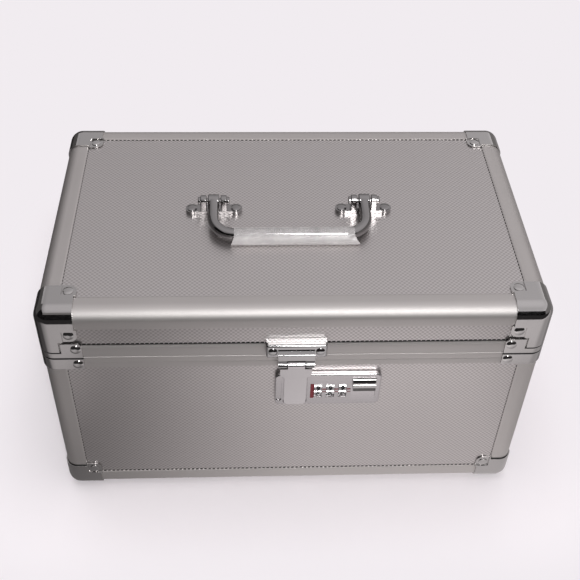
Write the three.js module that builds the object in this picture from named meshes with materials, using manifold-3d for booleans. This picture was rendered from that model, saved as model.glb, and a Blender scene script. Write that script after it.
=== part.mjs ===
// A medication lock box: an aluminium case with chrome corner caps, a bail handle on its lid,
// and a combination lock with a hasp. Millimetres, +Z up, front towards -Y.
// The origin is at the centre of the bounding box's bottom face.
import * as THREE from 'three';
import { mergeVertices } from 'three/addons/utils/BufferGeometryUtils.js';
import Module from 'manifold-3d';

const wasm = await Module();
wasm.setup();

// The case over its edge profiles
const caseWidth = 320;
const caseDepth = 196.4;
const caseHeight = 176.5;
const lidHeight = 38.9;
const partingGap = 0.3;

// The edge profile, the same on every edge
const cornerRadius = 8.4;
const flangeReach = 14.6;
const skinThickness = 1;
const webThickness = 1;
const lipThickness = 1;
const panelThickness = 4;

// The two rim profiles that meet at the parting line
const baseRimHeight = 10.1;
const lidRimHeight = 9.85;
const baseRimBlock = 4;
const lidRimWeb = 1.5;
const lidRimLeg = 1.4;
const tongueInset = 2.2;
const tongueThickness = 1.2;
const tongueHeight = 1.6;
const tongueRoom = 0.5;

// The fabric-faced linings
const liningGap = 0.2;
const liningThickness = 1.6;

// Sheet-metal corner caps and rim plates
const sheetSeat = 0.2;
const sheetThickness = 0.8;
const capLobe = 23.8;
const capEar = 24.8;
const capEarRadius = 5;
const baseCapPost = 23;
const baseCapPostWidth = 14.6;
const lidCapPost = 33.7;
const lidCapPostWidth = 12.5;
const capRivetAlong = 19.6;
const capRivetUp = 19.3;
const rimPlateReach = 26.5;
const rimPlateRise = 3;
const rimPlateChamfer = 2;
const rimPlateDrop = 0.3;
const rimPlateGap = 0.4;
const rimRivetAlong = 22.7;
const lidRimRivetHeight = 7.9;
const baseRimRivetDrop = 5.7;
const rivetRadius = 3.3;
const rivetHeight = 0.9;
const rivetEdgeShare = 0.3;
const rivetDomeReachShare = 0.65;
const rivetDomeRiseShare = 0.85;

// Two butt hinges on the back
const hingeInset = 65;
const hingeWidth = 36;
const hingeLeafThickness = 1.2;
const hingeLeafHeight = 9.4;
const hingeBarrelRadius = 2.6;
const hingeStandOff = 0.3;
const hingePinRadius = 1.1;
const hingeScrewRadius = 2.2;
const hingeScrewHeight = 0.7;
const hingeScrewSpacing = 22;

// The handle: two brackets, a bail and the sleeve round its grip
const handleCentreX = -1.5;
const handleSpacing = 101.6;
const handlePivotHeight = 8.75;
const bracketThickness = 1.6;
const bracketLobeRadius = 4.2;
const bracketWaist = 7.6;
const bracketRivetSpacing = 29.5;
const postThickness = 4.2;
const postWidth = 7.4;
const postCrownRadius = 3.4;
const postCrownHeight = 9.3;
const postGap = 1.3;
const knobRadius = 2.7;
const knobLength = 1.7;
const handlePinRadius = 1.7;
const bailWidth = 6.8;
const bailHeight = 7.6;
const bailReach = 30.6;
const bailCornerRadius = 18;
const bailEyeRadius = 4.4;
const sleeveRadius = 4.75;
const sleeveWall = 0.4;
const sleeveEndInset = 11.8;
const sleeveFootGap = 0.3;

// The strike plate on the lid, with the outer knuckles of the hasp's hinge. Heights of the latch
// are measured from the parting line, or from the edge of the piece that they belong to.
const latchCentreX = 0.5;
const strikeHalfWidth = 19.3;
const strikeRise = 1.4;
const strikeHeight = 11.4;
const strikeDepth = 4.2;
const strikeWall = 1.2;
const strikeBlockHalfWidth = 11.6;
const strikeBlockFront = 6.8;
const strikeBlockHeight = 5.4;
const strikeRivetAlong = 15;
const strikeRivetDrop = 5.7;
const haspAxisFront = 6.4;
const haspAxisDrop = 2;
const knuckleRadius = 2.4;
const knuckleHalfWidth = 5.2;
const knuckleGap = 0.3;
const knuckleSweep = 3.5;
const haspPinRadius = 1.2;

// The hasp
const haspFront = 3.8;
const haspThickness = 1.8;
const haspBottomInset = 2;
const haspCreaseDrop = 2.8;
const haspPlateHalfWidth = 7.2;
const haspNeckHalfWidth = 10.2;
const haspFlareStart = 1.4;
const haspFlareEnd = 5.8;
const haspShoulderDrop = 3.3;
const haspFootRadius = 3;
const stapleWidth = 2.6;
const stapleBack = 6;
const stapleDrop = 11.5;
const stapleHeight = 7;
const stapleWall = 1.1;
const stapleSwingRoom = 2.7;

// The lock's face, which reaches past the hasp, the dials and the thumb slide
const lockLeftReach = 13.3;
const lockRightReach = 9.1;
const lockTopMargin = 5.45;
const lockBottomMargin = 5.25;
const lockFront = 2.5;
const lockCornerRadius = 4;
const lockEdgeRadius = 1;
const haspRecessFloor = 1.5;
const haspRecessGap = 0.5;
const haspRecessFlare = 3;
const slideRecessWidth = 13.4;
const slideRecessDrop = 2.8;
const slideRecessHeight = 18.7;
const slideRecessSlope = 5.5;
const slideRecessDepth = 1.6;

// The combination dials and the red mark beside them
const dialDrop = 31.7;
const dialStart = 15.2;
const dialPitch = 8.1;
const dialRadius = 9.65;
const dialProud = 1;
const dialWindowWidth = 5.3;
const dialWindowHeight = 15.2;
const dialSideGap = 0.25;
const dialRoom = 0.35;
const dialGrooveDepth = 0.7;
const dialFaceShare = 0.36;
const dialRestShare = 2 / 3;
const spindleRadius = 1.5;
const indexWidth = 2.25;
const indexHeight = 15.6;
const indexDepth = 1.3;
const indexProud = 0.2;

// The thumb slide, bell crank and bolt behind the lock's face
const slideReach = 16;
const slideTravel = 5;
const thumbWidth = 12.1;
const thumbDrop = 0.5;
const thumbHeight = 7.1;
const thumbFront = 6;
const thumbBand = 2.4;
const thumbBandDrop = 1.2;
const thumbBevel = 0.5;
const stemWidth = 3.4;
const stemDrop = 1.3;
const stemHeight = 4.4;
const slidePlateWidth = 8;
const slidePlateThickness = 2;
const slidePinDrop = 1.8;
const crankArm = 8.5;
const crankThickness = 2;
const crankHubRadius = 2.8;
const crankArmWidth = 4;
const crankForkDepth = 1.6;
const crankForkEnd = 2.2;
const crankPivotRadius = 1.2;
const crankBossRadius = 2.4;
const drivePinRadius = 0.9;
const boltThickness = 2;
const boltBarHeight = 1.9;
const boltLegWidth = 3;
const boltTongueHeight = 2;
const boltTipGap = 0.7;
const boltTabHalfWidth = 1.6;
const boltPinRise = 2.6;

// The housing that holds the lock's works inside the case
const housingLeftInset = 3.3;
const housingRightInset = 2.3;
const housingInset = 1.6;
const housingBack = 17.8;
const housingWall = 1;
const housingFlange = 3;
const housingFlangeThickness = 1.1;
const housingRib = 1.2;
const ribHalfHeight = 3;

// Fits
const runningGap = 0.2;
const pinGap = 0.05;
const slideGap = 0.3;
const cutGap = 0.3;
const overrun = 2;

// Facet counts
const cornerSteps = 4;
const arcSteps = 4;
const rivetSides = 10;
const pinSides = 12;
const roundSides = 16;
const knuckleSides = 20;
const digitCount = 10;
const toothCount = 3;
const mergeTolerance = 0.0001;

// Places worked out from the sizes above
const halfWidth = caseWidth / 2;
const partingHeight = caseHeight - lidHeight;
const panelInner = skinThickness + panelThickness;
const profileInner = panelInner + lipThickness;
const panelTop = caseHeight - skinThickness;
const liningOuter = profileInner + liningGap;
const liningInner = liningOuter + liningThickness;
const baseTop = partingHeight - partingGap / 2;
const lidBottom = partingHeight + partingGap / 2;
const baseRimBottom = partingHeight - baseRimHeight;
const lidRimTop = partingHeight + lidRimHeight;
const basePanelTop = baseTop - baseRimBlock;
const tongueTop = partingHeight + tongueHeight;
const lidGrooveTop = tongueTop + tongueRoom;
const lidPanelBottom = lidGrooveTop + lidRimWeb;
const sheetOuter = sheetSeat + sheetThickness;
const hingeCentre = halfWidth - hingeInset;
const hingeAxisY = caseDepth + hingeStandOff + hingeBarrelRadius;
const handlePivotY = caseDepth / 2;
const sleeveLength = handleSpacing - 2 * sleeveEndInset;
const latchAxisY = -haspAxisFront;
const frontMost = latchAxisY - knuckleRadius;
const backMost = hingeAxisY + hingeBarrelRadius;
const caseShiftY = -(frontMost + backMost) / 2;
const strikeBottom = partingHeight + strikeRise;
const strikeTop = strikeBottom + strikeHeight;
const strikeBlockTop = strikeBottom + strikeBlockHeight;
const strikeRivetHeight = strikeTop - strikeRivetDrop;
const haspAxisHeight = partingHeight - haspAxisDrop;
const dialCentreHeight = partingHeight - dialDrop;
const dialCentreX = latchCentreX + dialStart + dialPitch;
const slideCentreX = dialCentreX + dialPitch + slideReach;
const lockLeft = latchCentreX - lockLeftReach;
const lockRight = slideCentreX + lockRightReach;
const lockTop = dialCentreHeight + dialRadius + lockTopMargin;
const lockBottom = dialCentreHeight - dialRadius - lockBottomMargin;
const housingLeft = lockLeft + housingLeftInset;
const housingRight = lockRight - housingRightInset;
const housingBottom = lockBottom + housingInset;
const housingTop = lockTop - housingInset;
const haspBottom = lockBottom + haspBottomInset;
const haspCrease = lockTop - haspCreaseDrop;
const haspShoulder = haspAxisHeight - haspShoulderDrop;
const stapleTop = lockTop - stapleDrop;
const stapleBottom = stapleTop - stapleHeight;
const slideRecessTop = lockTop - slideRecessDrop;
const slideRecessBottom = slideRecessTop - slideRecessHeight;
const thumbTop = slideRecessTop - thumbDrop;
const thumbBottom = thumbTop - thumbHeight;
const stemTop = thumbTop - stemDrop;
const stemBottom = stemTop - stemHeight;
const lockBack = skinThickness;
const dialAxisY = -lockFront - dialProud + dialRadius;
const dialWidth = dialWindowWidth - 2 * dialSideGap;
const haspBack = haspThickness - haspFront;
const crankHalfSwing = Math.asin(slideTravel / 2 / crankArm);
const crankMidReach = crankArm * Math.cos(crankHalfSwing);
const boltBarBottom = housingBottom + housingWall + slideGap;
const boltPinHeight = boltBarBottom + boltBarHeight / 2 + boltPinRise;
const crankX = slideCentreX - crankMidReach;
const crankZ = boltPinHeight + crankMidReach;
const slidePinHeight = crankZ + slideTravel / 2;
const slidePlateFront = lockBack + slideGap;
const slidePlateBack = slidePlateFront + slidePlateThickness;
const boltBack = slidePlateBack + slideGap + boltThickness;
const boltFront = boltBack - boltThickness;
const crankFront = boltBack + slideGap;
const crankBack = crankFront + crankThickness;
const drivePinEnd = crankBack;
const stapleMiddle = (stapleBottom + stapleTop) / 2;
const gripRestHeight = sleeveRadius + sleeveFootGap;
const bailDroop = Math.asin((handlePivotHeight - gripRestHeight) / bailReach);

// Closed solids from three.js geometries, and back

function solidOf(geometry) {
  geometry.deleteAttribute('normal');
  geometry.deleteAttribute('uv');
  const merged = mergeVertices(geometry, mergeTolerance);
  const points = merged.attributes.position.array;
  const triangles = [];
  for (let i = 0; i < merged.index.count; i += 3) {
    const [a, b, c] = merged.index.array.slice(i, i + 3);
    if (a !== b && b !== c && c !== a) triangles.push([a, b, c]);
  }
  const corner = (i) => new THREE.Vector3().fromArray(points, i * 3);
  let volume = 0;
  for (const [a, b, c] of triangles) volume += corner(a).dot(corner(b).cross(corner(c)));
  const outward = volume > 0 ? triangles : triangles.map(([a, b, c]) => [a, c, b]);
  const vertProperties = new Float32Array(points);
  const triVerts = new Uint32Array(outward.flat());
  return new wasm.Manifold(new wasm.Mesh({ numProp: 3, vertProperties, triVerts }));
}

function geometryOf(solid) {
  const mesh = solid.getMesh();
  const points = new Float32Array(mesh.vertProperties);
  const geometry = new THREE.BufferGeometry();
  geometry.setAttribute('position', new THREE.BufferAttribute(points, 3));
  geometry.setIndex(new THREE.BufferAttribute(new Uint32Array(mesh.triVerts), 1));
  return geometry;
}

function joined(...solids) {
  return solids.reduce((whole, solid) => whole.add(solid));
}

function cut(solid, ...tools) {
  return tools.reduce((whole, tool) => whole.subtract(tool), solid);
}

// Basic shapes, each placed where it belongs in the case

const ordered = (from, to) => [Math.min(from, to), Math.max(from, to)];

function block([x0, x1], [y0, y1], [z0, z1]) {
  const geometry = new THREE.BoxGeometry(1, 1, 1);
  const places = geometry.attributes.position;
  for (let i = 0; i < places.count; i += 1) {
    const x = places.getX(i) < 0 ? x0 : x1;
    const y = places.getY(i) < 0 ? y0 : y1;
    const z = places.getZ(i) < 0 ? z0 : z1;
    places.setXYZ(i, x, y, z);
  }
  return solidOf(geometry);
}

// Turns a shape drawn in a plane and pulled along +Z so that it lies along the named axis.
// The outline's two coordinates become (y, z) for X, (x, z) for Y and (x, y) for Z.
function laidAlong(geometry, axis, start) {
  const places = geometry.attributes.position;
  for (let i = 0; i < places.count; i += 1) {
    const [u, v, w] = [places.getX(i), places.getY(i), places.getZ(i) + start];
    if (axis === 'x') places.setXYZ(i, w, u, v);
    if (axis === 'y') places.setXYZ(i, u, w, v);
    if (axis === 'z') places.setXYZ(i, u, v, w);
  }
  return geometry;
}

function prism(outline, axis, [from, to]) {
  const shape = new THREE.Shape(outline.map(([u, v]) => new THREE.Vector2(u, v)));
  const geometry = new THREE.ExtrudeGeometry(shape, { depth: to - from, bevelEnabled: false });
  return solidOf(laidAlong(geometry, axis, from));
}

function circle(radius, sides, [u, v] = [0, 0]) {
  return Array.from({ length: sides }, (_, i) => {
    const turn = (2 * Math.PI * (i + 0.5)) / sides;
    return [u + radius * Math.cos(turn), v + radius * Math.sin(turn)];
  });
}

function rod(radius, sides, centre, axis, range) {
  return prism(circle(radius, sides, centre), axis, range);
}

// A hole whose flats stay a named gap outside the round piece that turns or sits in it
function bore(radius, gap, sides, centre, axis, range) {
  return rod(radius / Math.cos(Math.PI / sides) + gap, sides, centre, axis, range);
}

function arc([u, v], radius, startShare, endShare, steps = arcSteps) {
  return Array.from({ length: steps + 1 }, (_, i) => {
    const turn = 2 * Math.PI * (startShare + ((endShare - startShare) * i) / steps);
    return [u + radius * Math.cos(turn), v + radius * Math.sin(turn)];
  });
}

function roundedOutline([u0, u1], [v0, v1], radius) {
  return [
    ...arc([u1 - radius, v0 + radius], radius, -0.25, 0),
    ...arc([u1 - radius, v1 - radius], radius, 0, 0.25),
    ...arc([u0 + radius, v1 - radius], radius, 0.25, 0.5),
    ...arc([u0 + radius, v0 + radius], radius, 0.5, 0.75),
  ];
}

// A low domed rivet head on a face, with its foot sunk into the sheet that it holds.
// The face is named by its axis and by the way (+1 or -1) that it looks.
function rivetHead([u, v], axis, face, way, radius = rivetRadius, height = rivetHeight) {
  const foot = sheetThickness / 2;
  const profile = [
    [0, -foot],
    [radius, -foot],
    [radius, height * rivetEdgeShare],
    [radius * rivetDomeReachShare, height * rivetDomeRiseShare],
    [0, height],
  ];
  const points = profile.map(([r, z]) => new THREE.Vector2(r, z));
  const geometry = new THREE.LatheGeometry(points, rivetSides);
  const places = geometry.attributes.position;
  for (let i = 0; i < places.count; i += 1) {
    const [p, q, out] = [places.getX(i) + u, places.getZ(i) + v, face + way * places.getY(i)];
    if (axis === 'x') places.setXYZ(i, out, p, q);
    if (axis === 'y') places.setXYZ(i, p, out, q);
    if (axis === 'z') places.setXYZ(i, p, q, out);
  }
  return solidOf(geometry);
}

// Frames that run round the case

const caseCorners = [[1, 1], [-1, 1], [-1, -1], [1, -1]];

function planStations() {
  return caseCorners.flatMap(([sideX, sideY], quarter) =>
    Array.from({ length: cornerSteps + 1 }, (_, i) => ({
      sideX,
      sideY,
      turn: (Math.PI / 2) * (quarter + i / cornerSteps),
    })));
}

// A point of the case's plan at a depth inside its outer planes. Its corners are round to the
// profile's radius, and sharp once the depth is past the radius.
function planPoint({ sideX, sideY, turn }, depth) {
  const centreX = sideX * (halfWidth - cornerRadius);
  const centreY = sideY > 0 ? caseDepth - cornerRadius : cornerRadius;
  const radius = cornerRadius - depth;
  if (radius < 0) return [centreX + radius * sideX, centreY + radius * sideY];
  return [centreX + radius * Math.cos(turn), centreY + radius * Math.sin(turn)];
}

function ring(section) {
  const stations = planStations();
  const positions = [];
  const index = [];
  stations.forEach((station, s) => {
    const next = ((s + 1) % stations.length) * section.length;
    section.forEach(([depth, height], k) => {
      positions.push(...planPoint(station, depth), height);
      const here = s * section.length;
      const after = (k + 1) % section.length;
      index.push(here + k, next + k, next + after, here + k, next + after, here + after);
    });
  });
  const geometry = new THREE.BufferGeometry();
  geometry.setAttribute('position', new THREE.Float32BufferAttribute(positions, 3));
  geometry.setIndex(index);
  return solidOf(geometry);
}

function planOutline(depth) {
  return planStations().map((station) => planPoint(station, depth));
}

// The edge profile: a round skin, two flanges over the panels, and a web and lip behind each.
// Both coordinates are depths inside the two outer planes that meet at the edge.
function edgeSection() {
  const webInner = cornerRadius - webThickness;
  const skinInner = cornerRadius - skinThickness;
  const skinFoot = Math.acos(webThickness / skinInner);
  const centre = [cornerRadius, cornerRadius];
  const skinArc = arc(centre, cornerRadius, 0.5, 0.75, cornerSteps);
  const innerShare = skinFoot / (2 * Math.PI);
  const innerArc = arc(centre, skinInner, 0.5 + innerShare, 0.75 - innerShare, cornerSteps);
  return [
    [0, flangeReach],
    ...skinArc,
    [flangeReach, 0],
    [flangeReach, skinThickness],
    [cornerRadius, skinThickness],
    [cornerRadius, panelInner],
    [flangeReach, panelInner],
    [flangeReach, profileInner],
    [webInner, profileInner],
    ...innerArc,
    [profileInner, webInner],
    [profileInner, flangeReach],
    [panelInner, flangeReach],
    [panelInner, cornerRadius],
    [skinThickness, cornerRadius],
    [skinThickness, flangeReach],
  ];
}

const fromBottom = (height) => height;
const fromTop = (height) => caseHeight - height;

function edgeRing(level) {
  return ring(edgeSection().map(([depth, height]) => [depth, level(height)]));
}

function cornerPost([sideX, sideY], range) {
  const outline = edgeSection().map(([depth, across]) => [
    sideX * (halfWidth - depth),
    sideY > 0 ? caseDepth - across : across,
  ]);
  return prism(outline, 'z', range);
}

function baseRim() {
  const tongueOuter = tongueInset + tongueThickness;
  return ring([
    [0, baseRimBottom],
    [skinThickness, baseRimBottom],
    [skinThickness, basePanelTop],
    [panelInner, basePanelTop],
    [panelInner, baseRimBottom],
    [profileInner, baseRimBottom],
    [profileInner, baseTop],
    [tongueOuter, baseTop],
    [tongueOuter, tongueTop],
    [tongueInset, tongueTop],
    [tongueInset, baseTop],
    [0, baseTop],
  ]);
}

function lidRim() {
  return ring([
    [0, lidBottom],
    [skinThickness, lidBottom],
    [skinThickness, lidGrooveTop],
    [profileInner - lidRimLeg, lidGrooveTop],
    [profileInner - lidRimLeg, lidBottom],
    [profileInner, lidBottom],
    [profileInner, lidRimTop],
    [panelInner, lidRimTop],
    [panelInner, lidPanelBottom],
    [skinThickness, lidPanelBottom],
    [skinThickness, lidRimTop],
    [0, lidRimTop],
  ]);
}

// Panels and linings

const panelSpanX = [cornerRadius - halfWidth, halfWidth - cornerRadius];
const panelSpanY = [cornerRadius, caseDepth - cornerRadius];
const basePanelSpan = [cornerRadius, basePanelTop];
const lidPanelSpan = [lidPanelBottom, caseHeight - cornerRadius];

function sidePanels(prefix, span) {
  const front = [skinThickness, panelInner];
  const back = [caseDepth - panelInner, caseDepth - skinThickness];
  const left = [skinThickness - halfWidth, panelInner - halfWidth];
  const right = [halfWidth - panelInner, halfWidth - skinThickness];
  return {
    [`${prefix}_front_panel`]: block(panelSpanX, front, span),
    [`${prefix}_back_panel`]: block(panelSpanX, back, span),
    [`${prefix}_left_panel`]: block(left, panelSpanY, span),
    [`${prefix}_right_panel`]: block(right, panelSpanY, span),
  };
}

function lockCutout(margin, depths) {
  return block(
    [housingLeft - margin, housingRight + margin],
    depths,
    [housingBottom - margin, housingTop + margin],
  );
}

function lining(low, high, hollow) {
  const outer = prism(planOutline(liningOuter), 'z', [low, high]);
  return cut(outer, prism(planOutline(liningInner), 'z', hollow));
}

function baseLining() {
  const floor = liningOuter + liningThickness;
  const tray = lining(liningOuter, baseTop, [floor, baseTop + overrun]);
  return cut(tray, lockCutout(housingFlange + cutGap, [0, housingBack]));
}

function lidLining() {
  const ceiling = caseHeight - liningOuter - liningThickness;
  return lining(lidBottom, caseHeight - liningOuter, [lidBottom - overrun, ceiling]);
}

// Corner caps and rim plates are drawn once at a corner whose three outer planes pass through
// the origin, with every coordinate a depth inward, and then flipped to each corner.

const cornerExtent = lidCapPost + flangeReach;

function cornerOutline(radius) {
  const straight = cornerRadius - radius;
  return [
    [cornerExtent, straight],
    [cornerExtent, cornerExtent],
    [straight, cornerExtent],
    ...arc([cornerRadius, cornerRadius], radius, 0.5, 0.75, cornerSteps),
  ];
}

// A solid between convex outlines of as many points each, from the lowest to the highest
function stack(layers) {
  const positions = [];
  const index = [];
  const count = layers[0].outline.length;
  layers.forEach(({ outline, height }, s) => {
    outline.forEach(([u, v], k) => {
      positions.push(u, v, height);
      const here = s * count;
      const above = here + count;
      const after = (k + 1) % count;
      const side = [here + k, here + after, above + after, here + k, above + after, above + k];
      if (s < layers.length - 1) index.push(...side);
      if (s === 0 && k > 0) index.push(here, here + after, here + k);
      if (s === layers.length - 1 && k > 0) index.push(here, here + k, here + after);
    });
  });
  const geometry = new THREE.BufferGeometry();
  geometry.setAttribute('position', new THREE.Float32BufferAttribute(positions, 3));
  geometry.setIndex(index);
  return solidOf(geometry);
}

function cornerEnvelope(offset) {
  const radius = cornerRadius + offset;
  const rise = arc([0, cornerRadius], radius, -0.25, 0, cornerSteps);
  const layers = rise.map(([reach, height]) => ({ outline: cornerOutline(reach), height }));
  layers.push({ outline: cornerOutline(radius), height: cornerExtent });
  const level = [-offset - overrun, skinThickness - offset];
  const clear = [flangeReach + offset, cornerExtent + overrun];
  return cut(stack(layers), block(level, clear, clear), block(clear, level, clear),
    block(clear, clear, level));
}

function capOutline(post, postWidth) {
  const outside = -sheetOuter - overrun;
  const step = Math.max(postWidth, flangeReach);
  const width = Math.min(postWidth, flangeReach);
  const earCentre = [capEar - capEarRadius, capEar - capEarRadius];
  return [
    [outside, outside],
    [capLobe, outside],
    [capLobe, step],
    [capEar, step],
    ...arc(earCentre, capEarRadius, 0, 0.25),
    [width, capEar],
    [width, post],
    [outside, post],
  ];
}

function cornerCap(post, postWidth) {
  const shell = cut(cornerEnvelope(sheetOuter), cornerEnvelope(sheetSeat));
  const depth = [-sheetOuter - overrun, cornerRadius];
  const upright = capOutline(post, postWidth);
  const flat = capOutline(capLobe, flangeReach);
  const sides = joined(prism(upright, 'x', depth), prism(upright, 'y', depth));
  const reach = joined(sides, prism(flat, 'z', depth));
  const ear = skinThickness - sheetOuter;
  return joined(
    shell.intersect(reach),
    rivetHead([capRivetAlong, capRivetUp], 'x', ear, -1),
    rivetHead([capRivetAlong, capRivetUp], 'y', ear, -1),
    rivetHead([capRivetAlong, capRivetAlong], 'z', ear, -1),
  );
}

// A plate bent round one upright corner; its outline is (depth from the corner, height)
function rimPlate(outline, rivetHeightZ) {
  const bent = (offset) => prism(cornerOutline(cornerRadius + offset), 'z', [0, caseHeight]);
  const shell = cut(bent(sheetOuter), bent(sheetSeat));
  const depth = [-sheetOuter - overrun, cornerRadius];
  const reach = joined(prism(outline, 'x', depth), prism(outline, 'y', depth));
  return joined(
    shell.intersect(reach),
    rivetHead([rimRivetAlong, rivetHeightZ], 'x', -sheetOuter, -1),
    rivetHead([rimRivetAlong, rivetHeightZ], 'y', -sheetOuter, -1),
  );
}

function lidRimPlate() {
  const outside = -sheetOuter - overrun;
  const top = lidRimTop + rimPlateRise;
  const notch = lidCapPostWidth + rimPlateGap;
  const notchTop = caseHeight - lidCapPost - rimPlateGap;
  return rimPlate([
    [outside, lidBottom],
    [rimPlateReach, lidBottom],
    [rimPlateReach, top - rimPlateChamfer],
    [rimPlateReach - rimPlateChamfer, top],
    [notch, top],
    [notch, notchTop],
    [outside, notchTop],
  ], partingHeight + lidRimRivetHeight);
}

function baseRimPlate() {
  const outside = -sheetOuter - overrun;
  const bottom = baseRimBottom - rimPlateDrop;
  const top = baseTop - rimPlateGap;
  return rimPlate([
    [outside, bottom],
    [rimPlateReach, bottom],
    [rimPlateReach, top],
    [outside, top],
  ], partingHeight - baseRimRivetDrop);
}

// Moves a corner piece to one corner of the case, turning its faces out again where it is flipped
function atCorner(solid, [sideX, sideY], level) {
  const geometry = geometryOf(solid);
  const places = geometry.attributes.position;
  for (let i = 0; i < places.count; i += 1) {
    const x = sideX * (halfWidth - places.getX(i));
    const y = sideY > 0 ? caseDepth - places.getY(i) : places.getY(i);
    places.setXYZ(i, x, y, level(places.getZ(i)));
  }
  return solidOf(geometry);
}

// Hinges

function hingeLeaf(centreX, isLid) {
  const side = isLid ? 1 : -1;
  const upright = (near, far) => ordered(partingHeight + side * near, partingHeight + side * far);
  const clear = hingeBarrelRadius + slideGap;
  const half = hingeWidth / 2;
  const third = hingeWidth / 6;
  const leafY = [caseDepth, caseDepth + hingeLeafThickness];
  const webY = [caseDepth, caseDepth + hingeLeafThickness + pinGap];
  const spans = isLid
    ? [[-third + knuckleGap / 2, third - knuckleGap / 2]]
    : [[-half, -third - knuckleGap / 2], [third + knuckleGap / 2, half]];
  let leaf = block([centreX - half, centreX + half], leafY, upright(clear, hingeLeafHeight));
  for (const [from, to] of spans) {
    const range = [centreX + from, centreX + to];
    const barrel = rod(hingeBarrelRadius, knuckleSides, [hingeAxisY, partingHeight], 'x', range);
    leaf = joined(leaf, block(range, webY, upright(0, clear + hingeLeafThickness)), barrel);
  }
  const axis = [hingeAxisY, partingHeight];
  const whole = [centreX - half - overrun, centreX + half + overrun];
  const pin = rod(hingePinRadius, pinSides, axis, 'x', [centreX - half, centreX + half]);
  const hole = bore(hingePinRadius, runningGap, pinSides, axis, 'x', whole);
  leaf = isLid ? cut(leaf, hole) : joined(leaf, pin);
  const screwHeight = partingHeight + side * (clear + hingeLeafHeight) / 2;
  for (const way of [-1, 1]) {
    const place = [centreX + (way * hingeScrewSpacing) / 2, screwHeight];
    leaf = joined(leaf, rivetHead(place, 'y', leafY[1], 1, hingeScrewRadius, hingeScrewHeight));
  }
  return leaf;
}

// Handle

function handleBracket(centreX) {
  const foot = panelTop;
  const half = bracketRivetSpacing / 2;
  const pivotHeight = panelTop + handlePivotHeight;
  const plate = [foot, foot + bracketThickness];
  const waist = [handlePivotY - bracketWaist / 2, handlePivotY + bracketWaist / 2];
  let bracket = block([centreX - half, centreX + half], waist, plate);
  for (const way of [-1, 1]) {
    const lobe = [centreX + way * half, handlePivotY];
    const inner = centreX + way * (bailWidth / 2 + postGap);
    const outer = inner + way * postThickness;
    const range = ordered(inner, outer);
    const crown = [handlePivotY, foot + postCrownHeight];
    const post = [
      [handlePivotY - postWidth / 2, foot + bracketThickness / 2],
      [handlePivotY + postWidth / 2, foot + bracketThickness / 2],
      ...arc(crown, postCrownRadius, 0, 0.5, 2 * arcSteps),
    ];
    const knob = ordered(outer - way * pinGap, outer + way * knobLength);
    bracket = joined(
      bracket,
      rod(bracketLobeRadius, roundSides, lobe, 'z', plate),
      rivetHead(lobe, 'z', plate[1], 1),
      prism(post, 'x', range),
      rod(knobRadius, pinSides, [handlePivotY, pivotHeight], 'x', knob),
    );
  }
  const pinHalf = bailWidth / 2 + postGap + postThickness / 2;
  const pinRange = [centreX - pinHalf, centreX + pinHalf];
  const pin = rod(handlePinRadius, pinSides, [handlePivotY, pivotHeight], 'x', pinRange);
  return joined(bracket, pin);
}

// The bail lies along -Y from the pivot axis, which is its own origin here
function bailSolid() {
  const halfSpan = handleSpacing / 2;
  const bend = bailCornerRadius - bailWidth / 2;
  const centreLine = [
    [-halfSpan, 0],
    ...arc([bend - halfSpan, bend - bailReach], bend, 0.5, 0.75, 2 * arcSteps),
    ...arc([halfSpan - bend, bend - bailReach], bend, 0.75, 1, 2 * arcSteps),
    [halfSpan, 0],
  ];
  const section = circle(1, pinSides).map(([u, v]) => [(u * bailWidth) / 2, (v * bailHeight) / 2]);
  const positions = [];
  const index = [];
  const last = centreLine.length - 1;
  centreLine.forEach(([x, y], s) => {
    const [x0, y0] = centreLine[Math.max(s - 1, 0)];
    const [x1, y1] = centreLine[Math.min(s + 1, last)];
    const along = new THREE.Vector2(x1 - x0, y1 - y0).normalize();
    section.forEach(([across, up], k) => {
      positions.push(x - along.y * across, y + along.x * across, up);
      const after = (k + 1) % section.length;
      const here = s * section.length;
      const next = here + section.length;
      const side = [here + k, next + k, next + after, here + k, next + after, here + after];
      if (s < last) index.push(...side);
      if (s === 0 && k > 0) index.push(here, here + k, here + after);
      if (s === last && k > 0) index.push(here, here + after, here + k);
    });
  });
  const geometry = new THREE.BufferGeometry();
  geometry.setAttribute('position', new THREE.Float32BufferAttribute(positions, 3));
  geometry.setIndex(index);
  let bail = solidOf(geometry);
  for (const way of [-1, 1]) {
    const centre = way * halfSpan;
    const range = [centre - bailWidth / 2, centre + bailWidth / 2];
    const wide = [range[0] - overrun, range[1] + overrun];
    bail = joined(bail, rod(bailEyeRadius, roundSides, [0, 0], 'x', range));
    bail = cut(bail, bore(handlePinRadius, runningGap, pinSides, [0, 0], 'x', wide));
  }
  return bail;
}

function gripSleeve() {
  const range = [-sleeveLength / 2, sleeveLength / 2];
  const centre = [-bailReach, 0];
  const outer = rod(sleeveRadius, roundSides, centre, 'x', range);
  const wide = [range[0] - overrun, range[1] + overrun];
  return cut(outer, rod(sleeveRadius - sleeveWall, roundSides, centre, 'x', wide));
}

// Strike plate and hasp

function latchSpan(half, from = -half) {
  return [latchCentreX + from, latchCentreX + half];
}

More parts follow.
